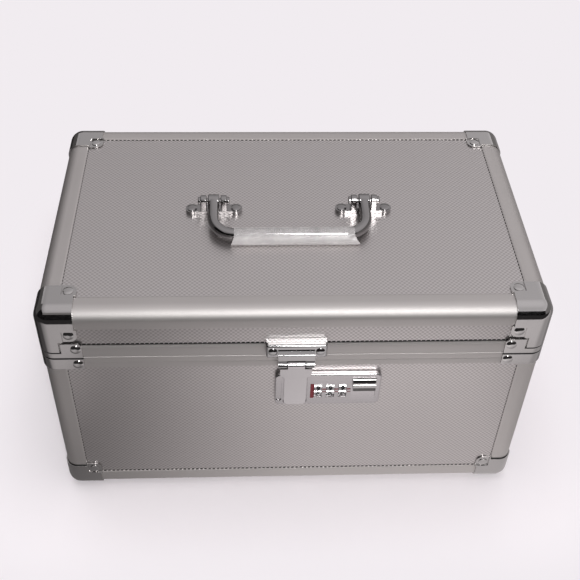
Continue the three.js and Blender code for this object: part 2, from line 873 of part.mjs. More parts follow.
function strikePlate() {
  const tray = block(latchSpan(strikeHalfWidth), [-strikeDepth, 0], [strikeBottom, strikeTop]);
  const pocket = block(
    latchSpan(strikeHalfWidth - strikeWall),
    [-strikeDepth - overrun, -strikeWall],
    [strikeBottom - overrun, strikeTop - strikeWall],
  );
  const lipBack = block(
    latchSpan(strikeHalfWidth),
    [-strikeWall, skinThickness],
    [lidRimTop + cutGap, strikeTop],
  );
  const raised = block(
    latchSpan(strikeBlockHalfWidth),
    [-strikeBlockFront, -strikeWall / 2],
    [strikeBottom, strikeBlockTop],
  );
  const axis = [latchAxisY, haspAxisHeight];
  const near = knuckleHalfWidth + knuckleGap;
  const webY = [-strikeBlockFront, -strikeDepth];
  const webZ = [haspAxisHeight, strikeBottom + strikeWall];
  let plate = joined(cut(tray, pocket), lipBack, raised);
  for (const way of [-1, 1]) {
    const range = ordered(latchCentreX + way * near, latchCentreX + way * strikeBlockHalfWidth);
    const knuckle = rod(knuckleRadius, knuckleSides, axis, 'x', range);
    const rivet = [latchCentreX + way * strikeRivetAlong, strikeRivetHeight];
    plate = joined(plate, block(range, webY, webZ), knuckle, rivetHead(rivet, 'y', -strikeWall, -1));
  }
  const wide = latchSpan(strikeBlockHalfWidth + overrun);
  const sweepRoom = rod(knuckleSweep, knuckleSides, axis, 'x', latchSpan(near));
  return cut(plate, bore(haspPinRadius, pinGap, pinSides, axis, 'x', wide), sweepRoom);
}

function haspPin() {
  const axis = [latchAxisY, haspAxisHeight];
  return rod(haspPinRadius, pinSides, axis, 'x', latchSpan(strikeBlockHalfWidth));
}

// The hasp's neck leans out from the crease to run tangent to the front of its barrel
function neckFront(height) {
  const share = (height - haspCrease) / (haspAxisHeight - haspCrease);
  return -haspFront + share * (frontMost + haspFront);
}

function haspSolid() {
  const plateZ = [haspBottom, haspCrease + haspFootRadius];
  const outline = roundedOutline(latchSpan(haspPlateHalfWidth), plateZ, haspFootRadius);
  const plate = prism(outline, 'y', [-haspFront, haspBack]);
  const plateTop = block(
    latchSpan(haspPlateHalfWidth + overrun),
    [-haspFront - overrun, haspBack + overrun],
    [haspCrease, plateZ[1] + overrun],
  );
  const leaning = (top) => [
    [-haspFront, haspCrease],
    [neckFront(top), top],
    [Math.min(neckFront(top) + haspThickness, latchAxisY), top],
    [haspBack, haspCrease],
  ];
  const neckOutline = [
    [latchCentreX - haspPlateHalfWidth, haspCrease],
    [latchCentreX - haspPlateHalfWidth, haspCrease + haspFlareStart],
    [latchCentreX - haspNeckHalfWidth, haspCrease + haspFlareEnd],
    [latchCentreX - haspNeckHalfWidth, haspShoulder],
    [latchCentreX + haspNeckHalfWidth, haspShoulder],
    [latchCentreX + haspNeckHalfWidth, haspCrease + haspFlareEnd],
    [latchCentreX + haspPlateHalfWidth, haspCrease + haspFlareStart],
    [latchCentreX + haspPlateHalfWidth, haspCrease],
  ];
  const neck = prism(leaning(haspShoulder), 'x', latchSpan(haspNeckHalfWidth + overrun))
    .intersect(prism(neckOutline, 'y', [frontMost - overrun, stapleBack]));
  const tongue = prism(leaning(haspAxisHeight), 'x', latchSpan(knuckleHalfWidth));
  const axis = [latchAxisY, haspAxisHeight];
  const barrel = rod(knuckleRadius, knuckleSides, axis, 'x', latchSpan(knuckleHalfWidth));
  const staple = block(
    latchSpan(stapleWidth / 2),
    [haspBack - sheetThickness, stapleBack],
    [stapleBottom, stapleTop],
  );
  const eye = block(
    latchSpan(stapleWidth),
    [boltFront - slideGap, boltBack + slideGap],
    [stapleBottom + stapleWall, stapleTop - stapleWall],
  );
  const wide = latchSpan(knuckleHalfWidth + overrun);
  return cut(
    joined(cut(plate, plateTop), neck, tongue, barrel, cut(staple, eye)),
    bore(haspPinRadius, runningGap, pinSides, axis, 'x', wide),
  );
}

// Lock

function lockPlate() {
  const inset = lockEdgeRadius;
  const outline = roundedOutline(
    [lockLeft + inset, lockRight - inset],
    [lockBottom + inset, lockTop - inset],
    lockCornerRadius - inset,
  );
  const shape = new THREE.Shape(outline.map(([u, v]) => new THREE.Vector2(u, v)));
  const geometry = new THREE.ExtrudeGeometry(shape, {
    depth: lockFront + lockBack + overrun - inset,
    bevelThickness: inset,
    bevelSize: inset,
    bevelSegments: 2,
  });
  const wide = [lockLeft - overrun, lockRight + overrun];
  const high = [lockBottom - overrun, lockTop + overrun];
  const behind = block(wide, [lockBack, lockBack + inset + 2 * overrun], high);
  return cut(solidOf(laidAlong(geometry, 'y', inset - lockFront)), behind);
}

function dialX(place) {
  return dialCentreX + place * dialPitch;
}

function dialWindow(place) {
  const range = [dialX(place) - dialWindowWidth / 2, dialX(place) + dialWindowWidth / 2];
  const half = dialWindowHeight / 2;
  const opening = block(
    range,
    [-lockFront - overrun, lockBack + overrun],
    [dialCentreHeight - half, dialCentreHeight + half],
  );
  const centre = [dialAxisY, dialCentreHeight];
  return joined(opening, bore(dialRadius, dialRoom, 2 * roundSides, centre, 'x', range));
}

function indexSpan() {
  const right = dialX(-1) - dialWindowWidth / 2;
  return [right - indexWidth, right];
}

function indexBlock(front) {
  const height = [dialCentreHeight - indexHeight / 2, dialCentreHeight + indexHeight / 2];
  return block(indexSpan(), [front, indexDepth - lockFront], height);
}

function slideRecess() {
  const half = slideRecessWidth / 2;
  const floor = slideRecessDepth - lockFront;
  const profile = [
    [-lockFront - overrun, slideRecessTop],
    [floor, slideRecessTop],
    [floor, slideRecessBottom + slideRecessSlope],
    [-lockFront, slideRecessBottom],
    [-lockFront - overrun, slideRecessBottom],
  ];
  const dish = prism(profile, 'x', [slideCentreX - half, slideCentreX + half]);
  const slotHalf = stemWidth / 2 + slideGap;
  const slot = block(
    [slideCentreX - slotHalf, slideCentreX + slotHalf],
    [-lockFront, lockBack + overrun],
    [stemBottom - slideTravel - slideGap, stemTop + slideGap],
  );
  return joined(dish, slot);
}

function lockBody() {
  const half = haspPlateHalfWidth + haspRecessGap;
  const low = haspBottom - haspRecessGap;
  const flare = half + haspRecessFlare;
  const recessOutline = [
    [latchCentreX - half, low],
    [latchCentreX + half, low],
    [latchCentreX + half, lockTop - haspRecessFlare],
    [latchCentreX + flare, lockTop + overrun],
    [latchCentreX - flare, lockTop + overrun],
    [latchCentreX - half, lockTop - haspRecessFlare],
  ];
  const haspRecess = prism(recessOutline, 'y', [-lockFront - overrun, -haspRecessFloor]);
  const stapleSlot = block(
    latchSpan(stapleWidth / 2 + slideGap),
    [-lockFront, lockBack + overrun],
    [stapleBottom - stapleSwingRoom, stapleTop + slideGap],
  );
  const windows = [-1, 0, 1].map(dialWindow);
  const indexSeat = indexBlock(-lockFront - overrun);
  return cut(lockPlate(), haspRecess, stapleSlot, slideRecess(), indexSeat, ...windows);
}

function lockHousing() {
  const inside = [[housingLeft, housingRight], [lockBack, housingBack], [housingBottom, housingTop]];
  const shell = cut(block(...inside), block(
    [housingLeft + housingWall, housingRight - housingWall],
    [lockBack - overrun, housingBack - housingWall],
    [housingBottom + housingWall, housingTop - housingWall],
  ));
  const flangeY = [panelInner, panelInner + housingFlangeThickness];
  const flange = cut(
    lockCutout(housingFlange, flangeY),
    lockCutout(-housingWall / 2, [0, housingBack]),
  );
  const deep = [dialAxisY - ribHalfHeight / 2, housingBack - housingWall / 2];
  const ribZ = [dialCentreHeight - ribHalfHeight, dialCentreHeight + ribHalfHeight];
  const leftRib = dialX(-1) - dialWidth / 2 - slideGap - housingRib;
  const rightRib = dialX(1) + dialWidth / 2 + slideGap;
  const bossTop = crankBack + slideGap;
  const spindle = [dialAxisY, dialCentreHeight];
  const spindleSpan = [leftRib - overrun, rightRib + housingRib + overrun];
  const pivot = [crankX, crankZ];
  return cut(
    joined(
      shell,
      flange,
      block([leftRib, leftRib + housingRib], deep, ribZ),
      block([rightRib, rightRib + housingRib], deep, ribZ),
      rod(crankBossRadius, pinSides, pivot, 'y', [bossTop, housingBack - housingWall / 2]),
      rod(crankPivotRadius, pinSides, pivot, 'y', [crankFront, bossTop + crankThickness]),
    ),
    bore(spindleRadius, pinGap, pinSides, spindle, 'x', spindleSpan),
  );
}

// A dial has a flat-edged face for each digit and a groove between each two
function dialSolid(place) {
  const step = 1 / digitCount;
  const reach = step * dialFaceShare;
  const centre = [dialAxisY, dialCentreHeight];
  const outline = Array.from({ length: digitCount }, (_, digit) => {
    const middle = (digit + dialRestShare) * step;
    const face = arc(centre, dialRadius, middle - reach, middle + reach, 2);
    const groove = arc(centre, dialRadius - dialGrooveDepth, middle + step / 2, middle, 1);
    return [...face, groove[0]];
  }).flat();
  const range = [dialX(place) - dialWidth / 2, dialX(place) + dialWidth / 2];
  const wide = [range[0] - overrun, range[1] + overrun];
  return cut(prism(outline, 'x', range), bore(spindleRadius, runningGap, pinSides, centre, 'x', wide));
}

function dialSpindle() {
  const reach = dialPitch + dialWidth / 2 + slideGap + housingRib;
  const range = [dialCentreX - reach, dialCentreX + reach];
  return rod(spindleRadius, pinSides, [dialAxisY, dialCentreHeight], 'x', range);
}

function thumbSlide() {
  const half = thumbWidth / 2;
  const floor = slideRecessDepth - lockFront - slideGap;
  const bandFront = thumbBandDrop - thumbFront;
  const tooth = thumbBand / toothCount;
  const teeth = Array.from({ length: toothCount }, (_, i) => [
    [bandFront, thumbBottom + i * tooth],
    [bandFront - thumbBevel, thumbBottom + i * tooth + tooth / 2],
  ]).flat();
  const profile = [
    [floor, thumbBottom],
    ...teeth,
    [bandFront, thumbBottom + thumbBand],
    [-thumbFront, thumbBottom + thumbBand + thumbBandDrop],
    [-thumbFront, thumbTop - thumbBandDrop],
    [thumbBevel - thumbFront, thumbTop],
    [floor, thumbTop],
  ];
  const thumb = prism(profile, 'x', [slideCentreX - half, slideCentreX + half]);
  const stem = block(
    [slideCentreX - stemWidth / 2, slideCentreX + stemWidth / 2],
    [floor - sheetThickness, slidePlateBack],
    [stemBottom, stemTop],
  );
  const plate = block(
    [slideCentreX - slidePlateWidth / 2, slideCentreX + slidePlateWidth / 2],
    [slidePlateFront, slidePlateBack],
    [slidePinHeight - slidePinDrop, stemTop],
  );
  const pin = rod(drivePinRadius, pinSides, [slideCentreX, slidePinHeight], 'y',
    [slidePlateBack - slidePlateThickness / 2, drivePinEnd]);
  return joined(thumb, stem, plate, pin);
}

// The crank turns about Y. One arm is driven by the slide's pin, the other drives the bolt's pin.
function bellCrank() {
  const thick = [crankFront, crankBack];
  const pivot = [crankX, crankZ];
  let crank = rod(crankHubRadius, roundSides, pivot, 'y', thick);
  for (const lean of [crankHalfSwing, crankHalfSwing - Math.PI / 2]) {
    const turned = (along, across) => [
      crankX + along * Math.cos(lean) - across * Math.sin(lean),
      crankZ + along * Math.sin(lean) + across * Math.cos(lean),
    ];
    const strip = (from, to, half) => [
      turned(from, -half), turned(to, -half), turned(to, half), turned(from, half),
    ];
    const end = crankArm + crankForkEnd;
    const forkHalf = drivePinRadius + runningGap;
    const wide = [crankFront - overrun, crankBack + overrun];
    crank = cut(
      joined(crank, prism(strip(0, end, crankArmWidth / 2), 'y', thick)),
      prism(strip(crankArm - crankForkDepth, end + overrun, forkHalf), 'y', wide),
    );
  }
  const through = [crankFront - overrun, crankBack + overrun];
  return cut(crank, bore(crankPivotRadius, runningGap, pinSides, pivot, 'y', through));
}

function latchBolt() {
  const thick = [boltFront, boltBack];
  const tip = latchCentreX + stapleWidth / 2 + boltTipGap;
  const legLeft = tip + slideTravel - boltTipGap + slideGap;
  const pinX = crankX + slideTravel / 2;
  const barTop = boltBarBottom + boltBarHeight;
  const tongueZ = [stapleMiddle - boltTongueHeight / 2, stapleMiddle + boltTongueHeight / 2];
  const tabX = [pinX - boltTabHalfWidth, pinX + boltTabHalfWidth];
  const tabZ = [boltBarBottom, boltPinHeight + boltTabHalfWidth];
  const pinY = [boltFront + boltThickness / 2, drivePinEnd];
  return joined(
    block([tip, legLeft + boltLegWidth], thick, tongueZ),
    block([legLeft, legLeft + boltLegWidth], thick, [boltBarBottom, tongueZ[1]]),
    block([legLeft, tabX[1]], thick, [boltBarBottom, barTop]),
    block(tabX, thick, tabZ),
    rod(drivePinRadius, pinSides, [pinX, boltPinHeight], 'y', pinY),
  );
}

// Finishes

const finish = (color, roughness, metalness) => () =>
  new THREE.MeshStandardMaterial({ color, roughness, metalness, flatShading: true });
const brushedAluminium = finish(0xa9a6a5, 0.38, 0.9);
const embossedAluminium = finish(0x9c9997, 0.42, 0.9);
const chrome = finish(0xc9c9cb, 0.12, 1);
const satinSteel = finish(0xb4b3b3, 0.3, 1);
const darkSteel = finish(0x6f6f72, 0.45, 1);
const darkFabric = finish(0x2b2b2e, 0.9, 0);
const blackPlastic = finish(0x202022, 0.6, 0);
const redPlastic = finish(0xa02430, 0.45, 0);
const milkyFilm = finish(0xdedbd8, 0.4, 0);

// Assembly

const caseGroup = new THREE.Group();
caseGroup.position.set(0, caseShiftY, sheetOuter);

function addPiece(name, solid, material, parent = caseGroup) {
  const mesh = new THREE.Mesh(geometryOf(solid), material());
  mesh.name = name;
  parent.add(mesh);
}

const cornerNames = ['back_right', 'back_left', 'front_left', 'front_right'];

function addBase() {
  const panels = sidePanels('base', basePanelSpan);
  panels.base_front_panel = cut(panels.base_front_panel, lockCutout(cutGap, [0, housingBack]));
  panels.base_bottom_panel = block(panelSpanX, panelSpanY, [skinThickness, panelInner]);
  for (const [name, solid] of Object.entries(panels)) addPiece(name, solid, embossedAluminium);
  addPiece('base_bottom_frame', edgeRing(fromBottom), brushedAluminium);
  addPiece('base_rim_frame', baseRim(), brushedAluminium);
  addPiece('base_lining', baseLining(), darkFabric);
  const cap = cornerCap(baseCapPost, baseCapPostWidth);
  const plate = baseRimPlate();
  caseCorners.forEach((corner, i) => {
    const post = cornerPost(corner, [flangeReach, baseRimBottom]);
    addPiece(`base_post_${cornerNames[i]}`, post, brushedAluminium);
    addPiece(`base_cap_${cornerNames[i]}`, atCorner(cap, corner, fromBottom), chrome);
    addPiece(`base_rim_plate_${cornerNames[i]}`, atCorner(plate, corner, fromBottom), satinSteel);
  });
}

function addLid() {
  const panels = sidePanels('lid', lidPanelSpan);
  panels.lid_top_panel = block(panelSpanX, panelSpanY, [caseHeight - panelInner, panelTop]);
  for (const [name, solid] of Object.entries(panels)) addPiece(name, solid, embossedAluminium);
  const postRange = [lidRimTop, caseHeight - flangeReach];
  const posts = caseCorners.map((corner) => cornerPost(corner, postRange));
  addPiece('lid_top_frame', joined(edgeRing(fromTop), ...posts), brushedAluminium);
  addPiece('lid_rim_frame', lidRim(), brushedAluminium);
  addPiece('lid_lining', lidLining(), darkFabric);
  const cap = cornerCap(lidCapPost, lidCapPostWidth);
  const plate = lidRimPlate();
  caseCorners.forEach((corner, i) => {
    addPiece(`lid_cap_${cornerNames[i]}`, atCorner(cap, corner, fromTop), chrome);
    addPiece(`lid_rim_plate_${cornerNames[i]}`, atCorner(plate, corner, fromBottom), satinSteel);
  });
}

function addHinges() {
  for (const [side, way] of [['left', -1], ['right', 1]]) {
    addPiece(`base_hinge_leaf_${side}`, hingeLeaf(way * hingeCentre, false), satinSteel);
    addPiece(`lid_hinge_leaf_${side}`, hingeLeaf(way * hingeCentre, true), satinSteel);
  }
}

function addHandle() {
  addPiece('handle_bracket_left', handleBracket(handleCentreX - handleSpacing / 2), chrome);
  addPiece('handle_bracket_right', handleBracket(handleCentreX + handleSpacing / 2), chrome);
  const swing = new THREE.Group();
  swing.position.set(handleCentreX, handlePivotY, panelTop + handlePivotHeight);
  swing.rotation.x = bailDroop;
  caseGroup.add(swing);
  addPiece('handle_bail', bailSolid(), chrome, swing);
  addPiece('grip_sleeve', gripSleeve(), milkyFilm, swing);
}

function addLatch() {
  addPiece('strike_plate', strikePlate(), satinSteel);
  addPiece('hasp', haspSolid(), satinSteel);
  addPiece('hasp_pin', haspPin(), darkSteel);
  addPiece('lock_body', lockBody(), satinSteel);
  addPiece('lock_housing', lockHousing(), blackPlastic);
  addPiece('red_index', indexBlock(-lockFront - indexProud), redPlastic);
  [-1, 0, 1].forEach((place, i) => addPiece(`dial_${i + 1}`, dialSolid(place), chrome));
  addPiece('dial_spindle', dialSpindle(), darkSteel);
  addPiece('lock_slide', thumbSlide(), chrome);
  addPiece('bell_crank', bellCrank(), darkSteel);
  addPiece('latch_bolt', latchBolt(), darkSteel);
}

addBase();
addLid();
addHinges();
addHandle();
addLatch();

const lockBox = new THREE.Group();
lockBox.add(caseGroup);

export default lockBox;
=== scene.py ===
"""A medication lock box: an aluminium case with chrome corner caps, a bail handle and a
combination lock with a hasp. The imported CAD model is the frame, and every piece is dressed here."""
import math

import bmesh
import bpy
import numpy as np
from mathutils import Matrix, Vector


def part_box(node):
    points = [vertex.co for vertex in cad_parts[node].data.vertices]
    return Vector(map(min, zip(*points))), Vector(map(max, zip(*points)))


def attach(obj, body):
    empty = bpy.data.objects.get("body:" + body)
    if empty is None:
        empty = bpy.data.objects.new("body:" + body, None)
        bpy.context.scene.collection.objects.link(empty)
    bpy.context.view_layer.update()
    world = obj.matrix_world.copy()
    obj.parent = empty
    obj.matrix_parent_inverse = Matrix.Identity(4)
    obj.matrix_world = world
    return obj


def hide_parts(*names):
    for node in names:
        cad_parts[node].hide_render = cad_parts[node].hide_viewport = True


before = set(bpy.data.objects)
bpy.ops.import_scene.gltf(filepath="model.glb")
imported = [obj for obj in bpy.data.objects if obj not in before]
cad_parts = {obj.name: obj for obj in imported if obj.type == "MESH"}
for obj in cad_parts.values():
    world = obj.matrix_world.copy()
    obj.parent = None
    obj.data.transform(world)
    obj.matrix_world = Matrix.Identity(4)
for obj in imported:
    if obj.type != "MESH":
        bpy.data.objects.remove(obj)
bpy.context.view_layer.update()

# ---------------------------------------------------------------------------
# Camera
# It stands in front of the case and above it, a little left of its middle, and looks down on
# the lid, as in the photograph. It has a 58 mm lens on a 36 mm sensor and no shift.
EYE = (-0.030014, -0.497989, 0.581731)
YAW, PITCH, ROLL = math.radians(3.586), math.radians(43.826), math.radians(2.001)
SENSOR, NEAREST = 36, 0.01
FOCAL_PIXELS, FRAME_PIXELS = 939.386, 580


def linked(data, name="shape"):
    """A new object in the scene, with a mesh, curve, camera or light as its data."""
    made = bpy.data.objects.new(name, data)
    bpy.context.scene.collection.objects.link(made)
    return made


ahead = Vector((math.sin(YAW) * math.cos(PITCH), math.cos(YAW) * math.cos(PITCH), -math.sin(PITCH)))
level = Vector((math.cos(YAW), -math.sin(YAW), 0))
upright = level.cross(ahead)
across = level * math.cos(ROLL) + upright * math.sin(ROLL)
upright = upright * math.cos(ROLL) - level * math.sin(ROLL)
camera_data = bpy.data.cameras.new("camera")
camera_data.sensor_width = SENSOR
camera_data.lens = SENSOR * FOCAL_PIXELS / FRAME_PIXELS
camera_data.clip_start = NEAREST
camera = linked(camera_data, "camera")
camera.matrix_world = Matrix.Translation(EYE) @ Matrix((across, upright, -ahead)).transposed().to_4x4()
bpy.context.scene.camera = camera

# ---------------------------------------------------------------------------
# Edge profiles
# Extruded aluminium along every edge of the base and the lid: a round skin with two flanges
# that lap over the panels. Sizes are millimetres, measured from the case's own outer planes.
METRE, JOINED = 1000.0, 1e-4
WIDTH, DEPTH, HEIGHT = 320.0, 196.4, 176.5
EDGE_RADIUS = 8.4
FLANGE = 14.6
SKIN = 1.0
PANEL_BACK = 5.0
LIP_BACK = 6.0
FLANGE_THIN, FLANGE_TAPER = 0.6, 1.2
PARTING = 137.6
PARTING_GAP = 0.3
BASE_RIM_LOW, LID_RIM_HIGH = 127.5, 147.45
TURN_STEPS = 12
CLOUD_SIZE = 60

origin = Vector((0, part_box("base_bottom_frame")[0].y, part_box("base_bottom_frame")[0].z))
to_frame = Matrix.Translation(origin) @ Matrix.Scale(1 / METRE, 4)


def mesh_of(points, faces):
    """A closed mesh in millimetres, with doubled points joined and its faces turned outward."""
    mesh = bpy.data.meshes.new("shape")
    mesh.from_pydata([tuple(map(float, p)) for p in points], [], faces)
    work = bmesh.new()
    work.from_mesh(mesh)
    bmesh.ops.remove_doubles(work, verts=work.verts, dist=JOINED)
    bmesh.ops.recalc_face_normals(work, faces=work.faces)
    work.to_mesh(mesh)
    work.free()
    return mesh


def evaluated(holder):
    """The mesh of an object with its modifiers applied; the object is removed."""
    bpy.context.view_layer.update()
    mesh = bpy.data.meshes.new_from_object(holder.evaluated_get(bpy.context.evaluated_depsgraph_get()))
    bpy.data.objects.remove(holder)
    return mesh


def combine(operation, first, *others):
    """Joins (UNION), cuts (DIFFERENCE) or intersects (INTERSECT) closed meshes."""
    holder = linked(first)
    tools = [linked(other) for other in others]
    for tool in tools:
        modifier = holder.modifiers.new("combine", "BOOLEAN")
        modifier.operation, modifier.solver, modifier.object = operation, "MANIFOLD", tool
    result = evaluated(holder)
    for tool in tools:
        bpy.data.objects.remove(tool)
    return result


def modified(mesh, kind, **settings):
    """A mesh after one modifier with its settings."""
    holder = linked(mesh)
    modifier = holder.modifiers.new(kind, kind)
    for name, value in settings.items():
        setattr(modifier, name, value)
    return evaluated(holder)


def soften(mesh, width, segments=2, angle=40):
    """Rounds the edges that are sharper than the angle, as tumbling or stamping leaves them."""
    return modified(mesh, "BEVEL", width=width, segments=segments, limit_method="ANGLE",
                    angle_limit=math.radians(angle), use_clamp_overlap=True)


def merged(*meshes):
    """Several meshes in one, without joining their solids."""
    work = bmesh.new()
    for mesh in meshes:
        work.from_mesh(mesh)
    result = bpy.data.meshes.new("shape")
    work.to_mesh(result)
    work.free()
    return result


def add_piece(name, mesh, body, material, stands_for=(), crease=32):
    """Puts a millimetre mesh in the CAD frame as a piece that rides on a body."""
    mesh.transform(to_frame)
    mesh.shade_smooth()
    mesh.set_sharp_from_angle(angle=math.radians(crease))
    mesh = modified(mesh, "WEIGHTED_NORMAL", keep_sharp=True, weight=100)
    mesh.name = name
    mesh.materials.clear()
    mesh.materials.append(material)
    piece = linked(mesh, name)
    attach(piece, body)
    if stands_for:
        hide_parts(*stands_for)


def arc(centre, radius, start, end, steps=TURN_STEPS):
    """Points from one turn to another, both in degrees, round a centre."""
    turns = np.radians(np.linspace(start, end, steps + 1))
    return [(centre[0] + radius * math.cos(t), centre[1] + radius * math.sin(t)) for t in turns]


CORNERS = {"back_right": (1, 1), "back_left": (-1, 1), "front_left": (-1, -1), "front_right": (1, -1)}
STATIONS = [
    (side, math.pi / 2 * (quarter + step / TURN_STEPS))
    for quarter, side in enumerate(CORNERS.values())
    for step in range(TURN_STEPS + 1)
]
PLACED = {"x": lambda u, v, w: (w, u, v), "y": lambda u, v, w: (u, w, v), "z": lambda u, v, w: (u, v, w)}


def plan_point(side, turn, depth):
    """A point of the case's plan at a depth inside its outer planes."""
    centre_x = side[0] * (WIDTH / 2 - EDGE_RADIUS)
    centre_y = DEPTH - EDGE_RADIUS if side[1] > 0 else EDGE_RADIUS
    radius = EDGE_RADIUS - depth
    if radius < 0:
        return centre_x + radius * side[0], centre_y + radius * side[1]
    return centre_x + radius * math.cos(turn), centre_y + radius * math.sin(turn)


def lofted(rows, ends=True, around=False):
    """A mesh through rows of points, with closed ends, or around and back to its first row."""
    count, points = len(rows[0]), [point for row in rows for point in row]
    faces = []
    for here in range(0, len(points) if around else len(points) - count, count):
        there = (here + count) % len(points)
        for k in range(count):
            after = (k + 1) % count
            faces.append((here + k, here + after, there + after, there + k))
    if ends:
        faces += [tuple(range(count)), tuple(range(len(points) - count, len(points)))]
    return mesh_of(points, faces)


def ring(section):
    """A section of (depth, height) points swept round the case."""
    rows = [[(*plan_point(side, turn, d), h) for d, h in section] for side, turn in STATIONS]
    return lofted(rows, ends=False, around=True)


def prism(outline, axis, low, high):
    """An outline pulled along an axis; its points are (y, z) for x, (x, z) for y, (x, y) for z."""
    return lofted([[PLACED[axis](u, v, w) for u, v in outline] for w in (low, high)])


def edge_section():
    """The edge profile, as depths inside the two outer planes that meet at the edge."""
    middle = (EDGE_RADIUS, EDGE_RADIUS)
    inner = EDGE_RADIUS - SKIN
    foot = math.degrees(math.acos(SKIN / inner))
    return [
        (FLANGE_THIN, FLANGE), (0, FLANGE - FLANGE_TAPER),
        *arc(middle, EDGE_RADIUS, 180, 270),
        (FLANGE - FLANGE_TAPER, 0), (FLANGE, FLANGE_THIN),
        (FLANGE, SKIN), (EDGE_RADIUS, SKIN), (EDGE_RADIUS, PANEL_BACK), (FLANGE, PANEL_BACK),
        (FLANGE, LIP_BACK), (inner, LIP_BACK),
        *arc(middle, inner, 180 + foot, 270 - foot),
        (LIP_BACK, inner), (LIP_BACK, FLANGE), (PANEL_BACK, FLANGE), (PANEL_BACK, EDGE_RADIUS),
        (SKIN, EDGE_RADIUS), (SKIN, FLANGE),
    ]


def corner_post(side, low, high):
    outline = [
        (side[0] * (WIDTH / 2 - d), DEPTH - a if side[1] > 0 else a)
        for d, a in edge_section()
    ]
    return prism(outline, "z", low, high)


def add_node(tree, kind, inputs=None, **settings):
    """Adds a node with its settings; an input is a value, or (node, output) for a link."""
    made = tree.nodes.new(kind)
    for name, value in settings.items():
        setattr(made, name, value)
    for socket, value in (inputs or {}).items():
        if isinstance(value, tuple) and isinstance(value[0], bpy.types.Node):
            tree.links.new(value[0].outputs[value[1]], made.inputs[socket])
        else:
            made.inputs[socket].default_value = value
    return made


def colour(code):
    """An sRGB hex value as linear red, green, blue and alpha."""
    shares = [int(code[i:i + 2], 16) / 255 for i in (1, 3, 5)]
    return (*[s / 12.92 if s <= 0.04045 else ((s + 0.055) / 1.055) ** 2.4 for s in shares], 1.0)


def new_material(name):
    """An empty material with its output, and the tree to build in."""
    material = bpy.data.materials.new(name)
    material.use_nodes = True
    material.node_tree.nodes.clear()
    output = add_node(material.node_tree, "ShaderNodeOutputMaterial")
    return material, material.node_tree, output


def metal(name, pale, dark, roughness, spread, grain, bump):
    """A metal whose colour drifts between two hex values, and whose grain roughens it.

    grain is the size of the marks on its surface and bump is their depth, in millimetres. Real
    marks are finer than a pixel, so they are drawn as coarse as the blur that they give.
    """
    material, tree, output = new_material(name)
    place = add_node(tree, "ShaderNodeTexCoord")
    cloud = add_node(tree, "ShaderNodeTexNoise", {
        "Vector": (place, "Object"), "Scale": METRE / CLOUD_SIZE, "Detail": 3.0})
    marks = add_node(tree, "ShaderNodeTexNoise", {
        "Vector": (place, "Object"), "Scale": METRE / grain, "Detail": 4.0})
    tint = add_node(tree, "ShaderNodeMixRGB", {
        "Fac": (cloud, "Fac"), "Color1": colour(dark), "Color2": colour(pale)})
    rough = add_node(tree, "ShaderNodeMapRange", {
        "Value": (marks, "Fac"), "From Min": 0.3, "From Max": 0.7,
        "To Min": roughness - spread, "To Max": roughness + spread})
    height = add_node(tree, "ShaderNodeBump", {
        "Height": (marks, "Fac"), "Strength": 1.0, "Distance": bump / METRE})
    surface = add_node(tree, "ShaderNodeBsdfPrincipled", {
        "Base Color": (tint, "Color"), "Metallic": 1.0, "Roughness": (rough, "Result"),
        "Normal": (height, "Normal")})
    tree.links.new(surface.outputs["BSDF"], output.inputs["Surface"])
    return material


# Satin anodised aluminium: etched before it is anodised, so it is matt and even, with a broad
# soft highlight and no brushing marks. The etch is far finer than a pixel and is drawn at 0.8 mm.
satin_aluminium = metal("satin_anodised_aluminium", "#dcd8d6", "#d4d0ce", 0.55, 0.03, 0.8, 0.004)

add_piece("base_edge_profile", ring(edge_section()), "base", satin_aluminium,
          ["base_bottom_frame"])
for corner, side in CORNERS.items():
    post = corner_post(side, FLANGE, BASE_RIM_LOW)
    add_piece(f"base_post_profile_{corner}", post, "base", satin_aluminium,
              [f"base_post_{corner}"])
lid_profile = merged(
    ring([(d, HEIGHT - h) for d, h in edge_section()]),
    *[corner_post(side, LID_RIM_HIGH, HEIGHT - FLANGE) for side in CORNERS.values()],
)
add_piece("lid_edge_profile", lid_profile, "lid", satin_aluminium, ["lid_top_frame"])

# ---------------------------------------------------------------------------
# Rim profiles
# Two extrusions that meet at the parting line. Each has a fine groove rolled along its face,
# and rounded lips that draw a light line and a dark one where they meet.
RIM_GROOVE = 0.2
RIM_GROOVE_HALF = 0.55
LIP_ROUND = 0.4
LID_EDGE = (0.4, 1.4)
BASE_GROOVE, LID_GROOVE = 132.4, 145.4
TONGUE_NEAR, TONGUE_FAR, TONGUE_TOP = 2.2, 3.4, 139.2
GROOVE_TOP, LID_PANEL_LOW, BASE_PANEL_HIGH = 139.7, 141.2, 133.45
LID_LEG_WIDE = 1.4
lid_leg = LIP_BACK - LID_LEG_WIDE
base_top, lid_low = PARTING - PARTING_GAP / 2, PARTING + PARTING_GAP / 2


def rim_groove(height):
    """The points of a rolled groove, from its top to its bottom."""
    rises = (RIM_GROOVE_HALF, RIM_GROOVE_HALF / 3, -RIM_GROOVE_HALF / 3, -RIM_GROOVE_HALF)
    return [(d, height + rise) for d, rise in zip((0, RIM_GROOVE, RIM_GROOVE, 0), rises)]


